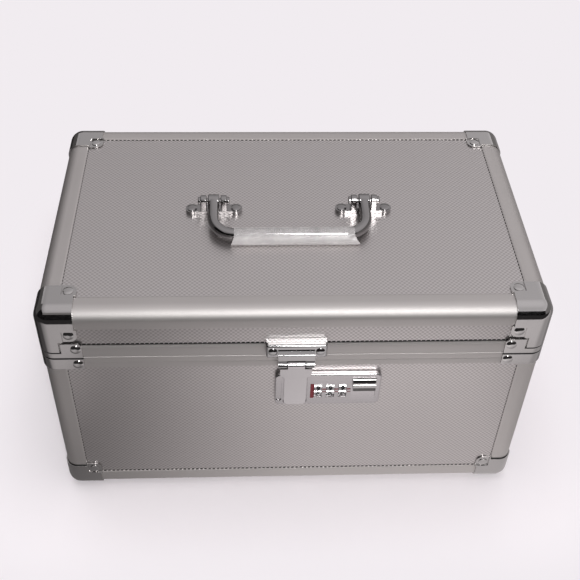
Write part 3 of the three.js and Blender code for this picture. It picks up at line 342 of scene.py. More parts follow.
base_rim = ring([
    (0, BASE_RIM_LOW), (SKIN, BASE_RIM_LOW), (SKIN, BASE_PANEL_HIGH), (PANEL_BACK, BASE_PANEL_HIGH),
    (PANEL_BACK, BASE_RIM_LOW), (LIP_BACK, BASE_RIM_LOW), (LIP_BACK, base_top), (TONGUE_FAR, base_top),
    (TONGUE_FAR, TONGUE_TOP), (TONGUE_NEAR, TONGUE_TOP), (TONGUE_NEAR, base_top),
    *arc((LIP_ROUND, base_top - LIP_ROUND), LIP_ROUND, 90, 180, 4),
    *rim_groove(BASE_GROOVE),
])
add_piece("base_rim_profile", base_rim, "base", satin_aluminium, ["base_rim_frame"])
lid_rim = ring([
    *rim_groove(LID_GROOVE),
    *arc((LIP_ROUND, lid_low + LIP_ROUND), LIP_ROUND, 180, 270, 4),
    (SKIN, lid_low), (SKIN, GROOVE_TOP), (lid_leg, GROOVE_TOP), (lid_leg, lid_low),
    (LIP_BACK, lid_low), (LIP_BACK, LID_RIM_HIGH), (PANEL_BACK, LID_RIM_HIGH), (PANEL_BACK, LID_PANEL_LOW),
    (SKIN, LID_PANEL_LOW), (SKIN, LID_RIM_HIGH), (LID_EDGE[0], LID_RIM_HIGH), (0, LID_RIM_HIGH - LID_EDGE[1]),
])
add_piece("lid_rim_profile", lid_rim, "lid", satin_aluminium, ["lid_rim_frame"])

# ---------------------------------------------------------------------------
# Embossed panels
# Aluminium sheet rolled with small staggered bumps and laid on a board. The bumps are real
# forms, 3 mm apart. Black strips along the flanges paint their shadow in the valleys as dark teeth.
BUMP_PITCH, BUMP_ROWS = 3.0, 3.0
BUMP_DEPTH = 0.2
SAMPLES = 4
HOUSING = ((-9.5, 54.7), (92.6, 119.4))
CUT_GAP = 0.3


def block(x, y, z):
    points = [(a, b, c) for a in x for b in y for c in z]
    faces = [(0, 1, 3, 2), (4, 6, 7, 5), (0, 4, 5, 1), (2, 3, 7, 6), (0, 2, 6, 4), (1, 5, 7, 3)]
    return mesh_of(points, faces)


def opening(margin, deep):
    """A block through the front wall, larger by a margin than the lock's housing."""
    (x0, x1), (z0, z1) = HOUSING
    return block((x0 - margin, x1 + margin), (0, deep), (z0 - margin, z1 + margin))


def embossed(u_span, v_span, place):
    """A panel whose face is embossed; place turns (u, v, depth) into a point."""
    step_u, step_v = BUMP_PITCH / SAMPLES, BUMP_ROWS / SAMPLES
    us = np.arange(math.ceil(u_span[0] / step_u), math.floor(u_span[1] / step_u) + 1) * step_u
    vs = np.arange(math.ceil(v_span[0] / step_v), math.floor(v_span[1] / step_v) + 1) * step_v
    grid_u, grid_v = np.meshgrid(us, vs, indexing="ij")
    wave = np.cos(2 * np.pi * grid_u / BUMP_PITCH) * np.cos(2 * np.pi * grid_v / BUMP_ROWS)
    depth = SKIN + BUMP_DEPTH / 2 * (1 - wave)
    points = [place(u, v, d) for u, v, d in zip(grid_u.flat, grid_v.flat, depth.flat)]
    nu, nv = len(us), len(vs)
    index = np.arange(nu * nv).reshape(nu, nv)
    quads = np.stack([index[:-1, :-1], index[1:, :-1], index[1:, 1:], index[:-1, 1:]], -1)
    faces = quads.reshape(-1, 4).tolist()
    back = len(points)
    ends = [(us[0], vs[0]), (us[-1], vs[0]), (us[-1], vs[-1]), (us[0], vs[-1])]
    points += [place(u, v, PANEL_BACK) for u, v in ends]
    borders = [index[:, 0], index[-1, :], index[::-1, -1], index[0, ::-1]]
    for k, border in enumerate(borders):
        faces.append([*border.tolist(), back + (k + 1) % 4, back + k])
    faces.append([back, back + 1, back + 2, back + 3])
    return mesh_of(points, faces)


# Embossed aluminium sheet: rolled metal under a thin clear lacquer. Its crowns are a little smoother
# than its valleys, and the valleys are painted darker as painted shade, so it shows a fine pattern of dots.
def embossed_sheet(name, axes):
    material, tree, output = new_material(name)
    place = add_node(tree, "ShaderNodeTexCoord")
    parts = add_node(tree, "ShaderNodeSeparateXYZ", {"Vector": (place, "Object")})
    waves = []
    for axis, pitch in zip(axes, (BUMP_PITCH, BUMP_ROWS)):
        rate = 2 * METRE * math.pi / pitch
        turn = add_node(tree, "ShaderNodeMath", {
            0: (parts, axis), 1: rate, 2: -rate * origin["XYZ".index(axis)]}, operation="MULTIPLY_ADD")
        waves.append(add_node(tree, "ShaderNodeMath", {0: (turn, "Value")}, operation="COSINE"))
    wave = add_node(tree, "ShaderNodeMath", {0: (waves[0], 0), 1: (waves[1], 0)}, operation="MULTIPLY")
    crown = add_node(tree, "ShaderNodeMapRange", {
        "Value": (wave, "Value"), "From Min": -0.45, "From Max": 0.35}, interpolation_type="SMOOTHSTEP")
    # Painted shade: the valleys get the darker colour and the crowns the lighter one.
    tint = add_node(tree, "ShaderNodeMixRGB", {
        "Fac": (crown, "Result"), "Color1": colour("#c6c1c0"), "Color2": colour("#e1dddc")})
    rough = add_node(tree, "ShaderNodeMapRange", {
        "Value": (crown, "Result"), "To Min": 0.4, "To Max": 0.34})
    surface = add_node(tree, "ShaderNodeBsdfPrincipled", {
        "Base Color": (tint, "Color"), "Metallic": 1.0, "Roughness": (rough, "Result")})
    tree.links.new(surface.outputs["BSDF"], output.inputs["Surface"])
    return material


upright_sheet = embossed_sheet("embossed_aluminium_front", "XZ")
side_sheet = embossed_sheet("embossed_aluminium_side", "YZ")
level_sheet = embossed_sheet("embossed_aluminium_top", "XY")

span_x = (EDGE_RADIUS - WIDTH / 2, WIDTH / 2 - EDGE_RADIUS)
span_y = (EDGE_RADIUS, DEPTH - EDGE_RADIUS)
walls = {
    "front": (span_x, lambda u, v, d: (u, d, v)),
    "back": (span_x, lambda u, v, d: (u, DEPTH - d, v)),
    "left": (span_y, lambda u, v, d: (d - WIDTH / 2, u, v)),
    "right": (span_y, lambda u, v, d: (WIDTH / 2 - d, u, v)),
}
heights = {"base": (EDGE_RADIUS, BASE_PANEL_HIGH), "lid": (LID_PANEL_LOW, HEIGHT - EDGE_RADIUS)}
for body, span_z in heights.items():
    for wall, (span_u, place) in walls.items():
        panel = embossed(span_u, span_z, place)
        if (body, wall) == ("base", "front"):
            panel = combine("DIFFERENCE", panel, opening(CUT_GAP, PANEL_BACK + SKIN))
        add_piece(f"{body}_{wall}_sheet", panel, body, side_sheet if span_u is span_y else upright_sheet,
                  [f"{body}_{wall}_panel"], crease=60)
level_panels = {
    ("lid", "top"): lambda u, v, d: (u, v, HEIGHT - d),
    ("base", "bottom"): lambda u, v, d: (u, v, d),
}
for (body, wall), place in level_panels.items():
    add_piece(f"{body}_{wall}_sheet", embossed(span_x, span_y, place), body, level_sheet,
              [f"{body}_{wall}_panel"], crease=60)

# Painted shadow: black strips lie in the valleys along the flanges, where the flanges cast shade.
# The crowns stand out of them as light dots, and the deeper a strip lies the more it breaks up into dark
# dots.
SHADOW_FACE, SHADOW_LOW, SHADOW_BACK, SHADOW_WIDE, SHADOW_LAP = 1.05, 1.1, 1.4, 1.4, 0.4
SHADOW_POST, SHADOW_BASE = SHADOW_WIDE / 3, SHADOW_WIDE * 0.8
# A matt black that paints the shadow under the flanges and under the edges of caps and plates.
painted_shadow_black, tree, output = new_material("painted_shadow_black")
surface = add_node(tree, "ShaderNodeBsdfPrincipled", {"Base Color": colour("#0d0c0d"), "Roughness": 0.6})
tree.links.new(surface.outputs["BSDF"], output.inputs["Surface"])


def seal_ring(face, low, high):
    return ring([(face, low), (face, high), (SHADOW_BACK, high), (SHADOW_BACK, low)])


def seal_posts(low, high):
    """Upright strips of painted shadow beside the corner posts, on all four walls."""
    across, deep = (FLANGE - SHADOW_LAP, FLANGE + SHADOW_POST), (SHADOW_LOW, SHADOW_BACK)
    shadow_strips = []
    for side in CORNERS.values():
        for in_x, in_y in ((across, deep), (deep, across)):
            x = sorted(side[0] * (WIDTH / 2 - d) for d in in_x)
            y = sorted(DEPTH - d if side[1] > 0 else d for d in in_y)
            shadow_strips.append(block(x, y, (low, high)))
    return shadow_strips


base_shadow_strips = [seal_ring(SHADOW_LOW, FLANGE - SHADOW_LAP, FLANGE + SHADOW_BASE), *seal_posts(FLANGE, BASE_RIM_LOW)]
add_piece("base_painted_shadow", merged(*base_shadow_strips), "base", painted_shadow_black)
top_z = (HEIGHT - SHADOW_BACK, HEIGHT - SHADOW_LOW)
half_x, far_y = WIDTH / 2 - FLANGE + SHADOW_LAP, DEPTH - FLANGE + SHADOW_LAP
lid_shadow_strips = [seal_ring(SHADOW_FACE, LID_RIM_HIGH - SHADOW_LAP, LID_RIM_HIGH + SHADOW_WIDE)]
lid_shadow_strips += seal_posts(LID_RIM_HIGH, HEIGHT - FLANGE)
for way in (-1, 1):
    ends = sorted(way * end for end in (half_x, half_x - SHADOW_LAP - SHADOW_POST))
    lid_shadow_strips.append(block(ends, (FLANGE, far_y), top_z))
lid_shadow_strips.append(block((-half_x, half_x), (far_y - SHADOW_WIDE, far_y), top_z))
add_piece("lid_painted_shadow", merged(*lid_shadow_strips), "lid", painted_shadow_black)

# ---------------------------------------------------------------------------
# Corner caps
# Pressed steel caps over the eight corners, nickel plated, each held by three domed rivets.
# The sheet steps down past the flanges, so that its ears lie on the panels.
SHEET_IN, SHEET_OUT = 0.2, 1.0
OVERRUN = 2.0
CAP_LOBE, CAP_EAR, CAP_EAR_RADIUS = 23.8, 24.8, 5.0
CAP_POSTS = {"base": (23.0, 14.6), "lid": (33.7, 12.5)}
CAP_RIVET_ALONG, CAP_RIVET_UP = 19.6, 19.3
RIVET_RADIUS, RIVET_HEIGHT, RIVET_LOW = 3.3, 1.0, 0.9
SHEET_EDGE = 0.22
ROUND_SIDES = 32
DOME_DROP, DOME_MOST, DOME_FLAT, DOME_RINGS = 0.165, 0.85, 0.1, 10
cap_reach = CAP_POSTS["lid"][0] + FLANGE


def corner_outline(radius):
    """A case corner seen from above, with every coordinate a depth inward."""
    straight = EDGE_RADIUS - radius
    corner = arc((EDGE_RADIUS, EDGE_RADIUS), radius, 180, 270)
    return [(cap_reach, straight), (cap_reach, cap_reach), (straight, cap_reach), *corner]


def corner_envelope(offset):
    """The case's corner, grown by an offset, with the step from its flanges to its panels."""
    radius = EDGE_RADIUS + offset
    layers = [(corner_outline(reach), height) for reach, height in arc((0, EDGE_RADIUS), radius, -90, 0)]
    layers.append((corner_outline(radius), cap_reach))
    low = (-offset - OVERRUN, SKIN - offset)
    clear = (FLANGE + offset, cap_reach + OVERRUN)
    steps = [block(low, clear, clear), block(clear, low, clear), block(clear, clear, low)]
    grown = lofted([[(u, v, height) for u, v in outline] for outline, height in layers])
    return combine("DIFFERENCE", grown, *steps)


def circle(centre, radius, sides=ROUND_SIDES):
    turns = np.linspace(0, 2 * math.pi, sides, endpoint=False)
    return [(centre[0] + radius * math.cos(t), centre[1] + radius * math.sin(t)) for t in turns]


def dome(centre, axis, face, way, radius=RIVET_RADIUS, height=RIVET_HEIGHT):
    """A domed head on a face, whose foot is sunk a little into the sheet."""
    drop = min(DOME_DROP * radius, DOME_MOST * height)
    levels = [(radius, -SHEET_OUT / 3)]
    levels += [(radius * t, height - drop * t ** 3) for t in np.linspace(1, DOME_FLAT, DOME_RINGS)]
    return lofted([[PLACED[axis](u, v, face + way * h) for u, v in circle(centre, r)] for r, h in levels])


def cap_outline(post, post_width):
    outside = -SHEET_OUT - OVERRUN
    step, width = max(post_width, FLANGE), min(post_width, FLANGE)
    ear = CAP_EAR - CAP_EAR_RADIUS
    return [
        (outside, outside), (CAP_LOBE, outside), (CAP_LOBE, step), (CAP_EAR, step),
        *arc((ear, ear), CAP_EAR_RADIUS, 0, 90), (width, CAP_EAR), (width, post), (outside, post),
    ]


def corner_cap(post, post_width):
    shell = combine("DIFFERENCE", corner_envelope(SHEET_OUT), corner_envelope(SHEET_IN))
    deep = (-SHEET_OUT - OVERRUN, EDGE_RADIUS)
    side = cap_outline(post, post_width)
    flat = cap_outline(CAP_LOBE, FLANGE)
    reach = combine("UNION", prism(side, "x", *deep), prism(side, "y", *deep), prism(flat, "z", *deep))
    cap = soften(combine("INTERSECT", shell, reach), SHEET_EDGE)
    places = (("x", CAP_RIVET_UP), ("y", CAP_RIVET_UP), ("z", CAP_RIVET_ALONG))
    return merged(cap, *[dome((CAP_RIVET_ALONG, up), axis, SKIN - SHEET_OUT, -1) for axis, up in places])


def at_corner(mesh, side, from_top=False):
    """A copy of a corner piece, flipped to one corner of the case."""
    flips = (-side[0], -1 if side[1] > 0 else 1, -1 if from_top else 1)
    shift = (side[0] * WIDTH / 2, DEPTH if side[1] > 0 else 0, HEIGHT if from_top else 0)
    moved = mesh.copy()
    moved.transform(Matrix.Translation(shift) @ Matrix.Diagonal((*flips, 1)))
    if flips[0] * flips[1] * flips[2] < 0:
        moved.flip_normals()
    return moved


# Nickel-plated steel: polished before plating, so it mirrors the room almost sharply.
nickel_plate = metal("nickel_plated_steel", "#cfcdcc", "#c8c6c5", 0.09, 0.03, 3.0, 0.004)

caps = {body: corner_cap(*CAP_POSTS[body]) for body in CAP_POSTS}
for corner, side in CORNERS.items():
    for body, cap in caps.items():
        add_piece(f"{body}_corner_{corner}", at_corner(cap, side, body == "lid"), body, nickel_plate,
                  [f"{body}_cap_{corner}"])

# ---------------------------------------------------------------------------
# Rim plates
# Strips of the same sheet bent round the upright corners at the parting line. The lid's plate
# is notched round the post of the corner cap above it.
PLATE_REACH, PLATE_RISE, PLATE_CHAMFER = 26.5, 3.0, 2.0
PLATE_DROP, PLATE_GAP, PLATE_RIVET = 0.3, 0.9, 22.7
LID_RIVET_UP, BASE_RIVET_DOWN = 7.9, 5.7
BEAD_PROUD, NOTCH_PROUD, BEAD_SUNK, BEAD_RISE = 0.35, 0.6, 0.3, 0.8


def rim_plate(outline, rivet_height):
    bent = [prism(corner_outline(EDGE_RADIUS + offset), "z", 0, HEIGHT) for offset in (SHEET_OUT, SHEET_IN)]
    deep = (-SHEET_OUT - OVERRUN, EDGE_RADIUS)
    reach = combine("UNION", prism(outline, "x", *deep), prism(outline, "y", *deep))
    plate = soften(combine("INTERSECT", combine("DIFFERENCE", *bent), reach), SHEET_EDGE)
    heads = [dome((PLATE_RIVET, rivet_height), axis, -SHEET_OUT, -1, height=rise)
             for axis, rise in (("x", RIVET_LOW), ("y", RIVET_HEIGHT))]
    return merged(plate, *heads)


outside = -SHEET_OUT - OVERRUN
plate_top = LID_RIM_HIGH + PLATE_RISE
notch = CAP_POSTS["lid"][1] + PLATE_GAP
notch_top = HEIGHT - CAP_POSTS["lid"][0] - PLATE_GAP
plates = {
    "lid": rim_plate([
        (outside, lid_low), (PLATE_REACH, lid_low), (PLATE_REACH, plate_top - PLATE_CHAMFER),
        (PLATE_REACH - PLATE_CHAMFER, plate_top), (notch, plate_top), (notch, notch_top),
        (outside, notch_top),
    ], PARTING + LID_RIVET_UP),
    "base": rim_plate([
        (outside, BASE_RIM_LOW - PLATE_DROP), (PLATE_REACH, BASE_RIM_LOW - PLATE_DROP),
        (PLATE_REACH, base_top - PLATE_GAP), (outside, base_top - PLATE_GAP),
    ], PARTING - BASE_RIVET_DOWN),
}
for corner, side in CORNERS.items():
    for body, plate in plates.items():
        add_piece(f"{body}_plate_{corner}", at_corner(plate, side), body, nickel_plate,
                  [f"{body}_rim_plate_{corner}"])


def bent_bead(low, high, reach, proud=NOTCH_PROUD):
    """A strip of painted shadow bent round a corner along the edge of a cap or a plate."""
    past = (low - OVERRUN, high + OVERRUN)
    bent = combine("DIFFERENCE", prism(corner_outline(EDGE_RADIUS + proud), "z", low, high),
                   prism(corner_outline(EDGE_RADIUS - BEAD_SUNK), "z", *past))
    return combine("INTERSECT", bent, block((outside, reach), (outside, reach), past))


# Painted shadow round the corners: black strips above each bottom cap, in the lid plate's notch, and
# along the base plate under the parting line.
post_high, parting_bead = CAP_POSTS["base"][0], base_top - PLATE_GAP
shadow_strips = {
    "base": [bent_bead(post_high - BEAD_SUNK, post_high + BEAD_RISE, FLANGE, BEAD_PROUD),
             bent_bead(parting_bead - BEAD_SUNK, base_top, PLATE_REACH)],
    "lid": [bent_bead(notch_top, notch_top + PLATE_GAP, notch)],
}
for body, made in shadow_strips.items():
    placed = [at_corner(bead, side) for bead in made for side in CORNERS.values()]
    add_piece(f"{body}_corner_painted_shadow", merged(*placed), body, painted_shadow_black)

# ---------------------------------------------------------------------------
# Linings
# Thin board faced with short-pile fabric, glued inside the base and the lid. The pile softens
# its edges.
LINING_OUT, LINING_IN = 6.2, 7.8
LINING_EDGE = 0.5
TUFT_SIZE, WORN_SIZE = 0.9, 35
HOUSING_FLANGE, HOUSING_BACK = 3.0, 17.8


def lined(outer, inner):
    """A tray between two spans of height, with the case's plan."""
    shapes = []
    for depth, span in ((LINING_OUT, outer), (LINING_IN, inner)):
        shapes.append(prism([plan_point(side, turn, depth) for side, turn in STATIONS], "z", *span))
    return combine("DIFFERENCE", *shapes)


# Short-pile polyester: a soft sheen at its edge, and tufts about a millimetre wide.
lining_fabric, tree, output = new_material("short_pile_fabric")
place = add_node(tree, "ShaderNodeTexCoord")
tufts, patches = [
    add_node(tree, "ShaderNodeTexNoise", {
        "Vector": (place, "Object"), "Scale": METRE / size, "Detail": detail})
    for size, detail in ((TUFT_SIZE, 3.0), (WORN_SIZE, 2.0))]
mixed = add_node(tree, "ShaderNodeMath", {0: (tufts, "Fac"), 1: (patches, "Fac")}, operation="MULTIPLY")
tint = add_node(tree, "ShaderNodeMapRange", {"Value": (mixed, "Value"), "From Min": 0.12, "From Max": 0.4})
shade = add_node(tree, "ShaderNodeMixRGB", {
    "Fac": (tint, "Result"), "Color1": colour("#1f1f23"), "Color2": colour("#3b3b40")})
height = add_node(tree, "ShaderNodeBump", {"Height": (tufts, "Fac"), "Strength": 0.8, "Distance": 0.0004})
surface = add_node(tree, "ShaderNodeBsdfPrincipled", {
    "Base Color": (shade, "Color"), "Roughness": 0.95, "Sheen Weight": 0.5, "Sheen Roughness": 0.4,
    "Normal": (height, "Normal")})
tree.links.new(surface.outputs["BSDF"], output.inputs["Surface"])

base_tray = lined((LINING_OUT, base_top), (LINING_IN, base_top + OVERRUN))
base_tray = combine("DIFFERENCE", base_tray, opening(HOUSING_FLANGE + CUT_GAP, HOUSING_BACK))
add_piece("base_fabric_lining", soften(base_tray, LINING_EDGE, 3), "base", lining_fabric,
          ["base_lining"])
lid_tray = lined((lid_low, HEIGHT - LINING_OUT), (lid_low - OVERRUN, HEIGHT - LINING_IN))
add_piece("lid_fabric_lining", soften(lid_tray, LINING_EDGE, 3), "lid", lining_fabric,
          ["lid_lining"])

# ---------------------------------------------------------------------------
# Hinges
# Two steel butt hinges on the back, with rolled knuckles on a pin and two screws in each leaf.
HINGE_X = 95.0
HINGE_WIDTH, HINGE_LEAF, HINGE_REACH = 36.0, 1.2, 9.4
BARREL_RADIUS, HINGE_PIN, STAND_OFF = 2.6, 1.1, 0.3
SCREW_RADIUS, SCREW_HEIGHT, SCREW_SPACING = 2.2, 0.7, 22.0
SLOT_HALF, SLOT_REACH = SCREW_RADIUS / 8, SCREW_RADIUS * 0.62
RUN_GAP, SLIDE_GAP, KNUCKLE_GAP, PIN_GAP = 0.2, 0.3, 0.3, 0.05
hinge_axis = (DEPTH + STAND_OFF + BARREL_RADIUS, PARTING)


def about(middle, half):
    return middle - half, middle + half


def rod(radius, centre, axis, low, high, sides=ROUND_SIDES):
    return prism(circle(centre, radius, sides), axis, low, high)


def screw(x, z):
    """A screw's domed head on a hinge leaf, with a cross recess."""
    face = DEPTH + HINGE_LEAF
    head = dome((x, z), "y", face, 1, SCREW_RADIUS, SCREW_HEIGHT)
    deep = (face + SCREW_HEIGHT / 2, face + (SCREW_HEIGHT + OVERRUN))
    arms = [block(about(x, u), deep, about(z, v))
            for u, v in ((SLOT_REACH, SLOT_HALF), (SLOT_HALF, SLOT_REACH))]
    return combine("DIFFERENCE", head, combine("UNION", *arms))


def hinge_leaf(centre, is_lid):
    side = 1 if is_lid else -1
    clear = BARREL_RADIUS + SLIDE_GAP
    half, third = HINGE_WIDTH / 2, HINGE_WIDTH / 6
    rise = lambda near, far: sorted((PARTING + side * near, PARTING + side * far))
    gap = KNUCKLE_GAP / 2
    spans = [(-third + gap, third - gap)] if is_lid else [(-half, -third - gap), (third + gap, half)]
    plate = block(about(centre, half), (DEPTH, DEPTH + HINGE_LEAF), rise(clear, HINGE_REACH))
    for low, high in spans:
        ends = (centre + low, centre + high)
        web = block(ends, (DEPTH, DEPTH + HINGE_LEAF + PIN_GAP), rise(0, clear + HINGE_LEAF))
        barrel = rod(BARREL_RADIUS, hinge_axis, "x", *ends)
        plate = combine("UNION", plate, web, barrel)
    pin = rod(HINGE_PIN + is_lid * RUN_GAP, hinge_axis, "x", *about(centre, half + is_lid * OVERRUN))
    plate = soften(combine("DIFFERENCE" if is_lid else "UNION", plate, pin), SHEET_EDGE)
    height = PARTING + side * (clear + HINGE_REACH) / 2
    return merged(plate, *[screw(centre + way * SCREW_SPACING / 2, height) for way in (-1, 1)])


for side, way in (("left", -1), ("right", 1)):
    for body in ("base", "lid"):
        add_piece(f"{body}_hinge_{side}", hinge_leaf(way * HINGE_X, body == "lid"), body, nickel_plate,
                  [f"{body}_hinge_leaf_{side}"])

# ---------------------------------------------------------------------------
# Handle
# A chromed bail hangs between the posts of two brackets that are riveted through the lid, and
# lies forward at rest. A loose milky film is wrapped round its grip.
HANDLE_X, HANDLE_SPAN, PIVOT_Y = -1.5, 101.6, 98.2
LID_FACE = HEIGHT - SKIN
PIVOT_UP = 8.75
PLATE_THICK, LOBE_RADIUS, PLATE_WAIST, LOBE_SPACING = 2.6, 4.4, 7.6, 29.5
POST_THICK, POST_WIDE, CROWN_RADIUS, CROWN_UP, POST_GAP = 4.2, 7.4, 3.4, 9.3, 0.9
KNOB_RADIUS, KNOB_LENGTH, PIVOT_RADIUS = 2.7, 1.7, 1.7
BAIL_WIDE, BAIL_HIGH, BAIL_REACH, BAIL_BEND, BAIL_EYE = 7.6, 7.8, 30.6, 14.6, 4.4
PLATE_EDGE, POST_EDGE, KNOB_EDGE, KNOB_SUNK, EYE_EDGE = 0.25, 0.7, 0.6, 0.5, 0.8
SLEEVE_RADIUS, SLEEVE_LENGTH, SLEEVE_FOOT = 4.75, 78.0, 0.3


def bracket(centre):
    half = LOBE_SPACING / 2
    plate = (LID_FACE, LID_FACE + PLATE_THICK)
    pivot = (PIVOT_Y, LID_FACE + PIVOT_UP)
    foot = LID_FACE + PLATE_THICK / 2
    body = block(about(centre, half), about(PIVOT_Y, PLATE_WAIST / 2), plate)
    lobes = [rod(LOBE_RADIUS, (centre + way * half, PIVOT_Y), "z", *plate) for way in (-1, 1)]
    body = soften(combine("UNION", body, *lobes), PLATE_EDGE, 3)
    posts, heads = [], []
    for way in (-1, 1):
        inner = centre + way * (BAIL_WIDE / 2 + POST_GAP)
        outer = inner + way * POST_THICK
        outline = [(PIVOT_Y - POST_WIDE / 2, foot), (PIVOT_Y + POST_WIDE / 2, foot),
                   *arc((PIVOT_Y, LID_FACE + CROWN_UP), CROWN_RADIUS, 0, 180, 2 * TURN_STEPS)]
        posts.append(soften(prism(outline, "x", *sorted((inner, outer))), POST_EDGE, 4))
        ends = sorted((outer - way * KNOB_SUNK, outer + way * KNOB_LENGTH))
        posts.append(soften(rod(KNOB_RADIUS, pivot, "x", *ends), KNOB_EDGE, 4))
        heads.append(dome((centre + way * half, PIVOT_Y), "z", plate[1], 1))
    reach = BAIL_WIDE / 2 + POST_GAP + POST_THICK / 2
    pin = rod(PIVOT_RADIUS, pivot, "x", *about(centre, reach))
    return merged(combine("UNION", body, *posts, pin), *heads)


# Bright chrome, a little darker and more mirror-like than the nickel of the caps.
bright_chrome = metal("bright_chromed_zinc", "#a8a6a6", "#a09e9e", 0.08, 0.02, 2.0, 0.003)
for side, way in (("left", -1), ("right", 1)):
    add_piece(f"handle_mount_{side}", bracket(HANDLE_X + way * HANDLE_SPAN / 2), "lid", bright_chrome,
              [f"handle_bracket_{side}"], crease=40)

droop = math.asin((PIVOT_UP - SLEEVE_RADIUS - SLEEVE_FOOT) / BAIL_REACH)
hang = Matrix.Translation((HANDLE_X, PIVOT_Y, LID_FACE + PIVOT_UP)) @ Matrix.Rotation(droop, 4, "X")
BAIL_STEPS, BAIL_SIDES, BAIL_SQUARE = 16, 40, 2.25


def swept(line, section):
    """A section of (across, up) points swept along a line in the XY plane, with its ends closed."""
    rows = []
    for s, (x, y) in enumerate(line):
        before, after = line[max(s - 1, 0)], line[min(s + 1, len(line) - 1)]
        way = Vector((after[0] - before[0], after[1] - before[1])).normalized()
        rows.append([(x - way.y * a, y + way.x * a, up) for a, up in section])
    return lofted(rows)


half = HANDLE_SPAN / 2
line = [(-half, 0), *arc((BAIL_BEND - half, BAIL_BEND - BAIL_REACH), BAIL_BEND, 180, 270, BAIL_STEPS),
        *arc((half - BAIL_BEND, BAIL_BEND - BAIL_REACH), BAIL_BEND, 270, 360, BAIL_STEPS), (half, 0)]
turns = np.linspace(0, 2 * math.pi, BAIL_SIDES, endpoint=False)
squared = lambda share: math.copysign(abs(share) ** (2 / BAIL_SQUARE), share)
section = [(BAIL_WIDE / 2 * squared(math.cos(t)), BAIL_HIGH / 2 * squared(math.sin(t))) for t in turns]
bail = swept(line, section)
for way in (-1, 1):
    eye = rod(BAIL_EYE, (0, 0), "x", *about(way * half, BAIL_WIDE / 2))
    bore = rod(PIVOT_RADIUS + RUN_GAP, (0, 0), "x", *about(way * half, BAIL_WIDE / 2 + OVERRUN))
    bail = combine("DIFFERENCE", combine("UNION", bail, soften(eye, EYE_EDGE, 4)), bore)
bail.transform(hang)
add_piece("bail", bail, "handle", bright_chrome, ["handle_bail"], crease=40)

# The film: thin polyethylene, milky where it is creased. It hangs down in front of the grip to
# the lid as a loose fold, and the fold runs on past the ends.
SLEEVE_ROWS, SLEEVE_SIDES, FILM = 160, 72, 0.12
CREASES, CREASE_DEPTH, CREASE_SHARP, WAVE_SHARE, END_LOOSE, END_SLACK = 26, 0.32, 1.4, 1 / 8, 1.4, 3.0
FOLD_TURN, FOLD_SPREAD, FOLD_OUT = math.radians(212), 0.6, 3.0
PAST_RIGHT, PAST_LEFT = (4.0, 3.0), (2.0, -2.0)
WAVES_ALONG, WAVES_ROUND, ANY_TURN, WAVE_HEIGHTS, SEED = (0.15, 1.1), (2, 9), (0, 6.28), (0.3, 1), 7
rng = np.random.default_rng(SEED)
creases = [
    (rng.uniform(*WAVES_ALONG), rng.integers(*WAVES_ROUND), rng.uniform(*ANY_TURN),
     rng.uniform(*WAVE_HEIGHTS)) for _ in range(CREASES)]
rows, half_grip = [], SLEEVE_LENGTH / 2
for x in np.linspace(-half_grip, half_grip, SLEEVE_ROWS):
    slack = 1 + END_LOOSE * math.exp(-min(x + half_grip, half_grip - x) / END_SLACK)
    folded, loose = PAST_RIGHT if x > 0 else PAST_LEFT
    row = []
    for t in np.linspace(0, 2 * math.pi, SLEEVE_SIDES, endpoint=False):
        wave = sum(a * math.sin(k * x + n * t + p) for k, n, p, a in creases) * WAVE_SHARE
        fold = math.exp(-(((t - FOLD_TURN) / FOLD_SPREAD) ** 2))
        depth = CREASE_DEPTH * slack * (0.5 + 0.5 * math.tanh(wave * CREASE_SHARP))
        radius = SLEEVE_RADIUS - FILM - depth + FOLD_OUT * fold
        along = x * (1 + (folded * fold + loose) / half_grip)
        row.append((along, -BAIL_REACH + radius * math.cos(t), radius * math.sin(t)))
    rows.append(row)
film_mesh = modified(lofted(rows, ends=False), "SOLIDIFY", thickness=FILM, offset=1.0)
film_mesh.transform(hang)
milky_film, tree, output = new_material("milky_polyethylene_film")
place = add_node(tree, "ShaderNodeTexCoord")
haze = add_node(tree, "ShaderNodeTexNoise", {"Vector": (place, "Object"), "Scale": METRE / 7, "Detail": 4.0})
parts = add_node(tree, "ShaderNodeSeparateXYZ", {"Vector": (place, "Object")})
middle = (LID_FACE + SLEEVE_RADIUS + SLEEVE_FOOT) / METRE + origin.z
clear = add_node(tree, "ShaderNodeMapRange", {
    "Value": (parts, "Z"), "From Min": middle, "From Max": middle + 0.004, "To Min": 0.3, "To Max": 0.05})
cover = add_node(tree, "ShaderNodeMath", {
    0: (haze, "Fac"), 1: 0.35, 2: (clear, "Result")}, operation="MULTIPLY_ADD")
surface = add_node(tree, "ShaderNodeBsdfPrincipled", {
    "Base Color": colour("#e6e3e2"), "Roughness": 0.22, "IOR": 1.5, "Alpha": (cover, "Value")})
tree.links.new(surface.outputs["BSDF"], output.inputs["Surface"])
add_piece("film_sleeve", film_mesh, "handle", milky_film, ["grip_sleeve"], crease=75)

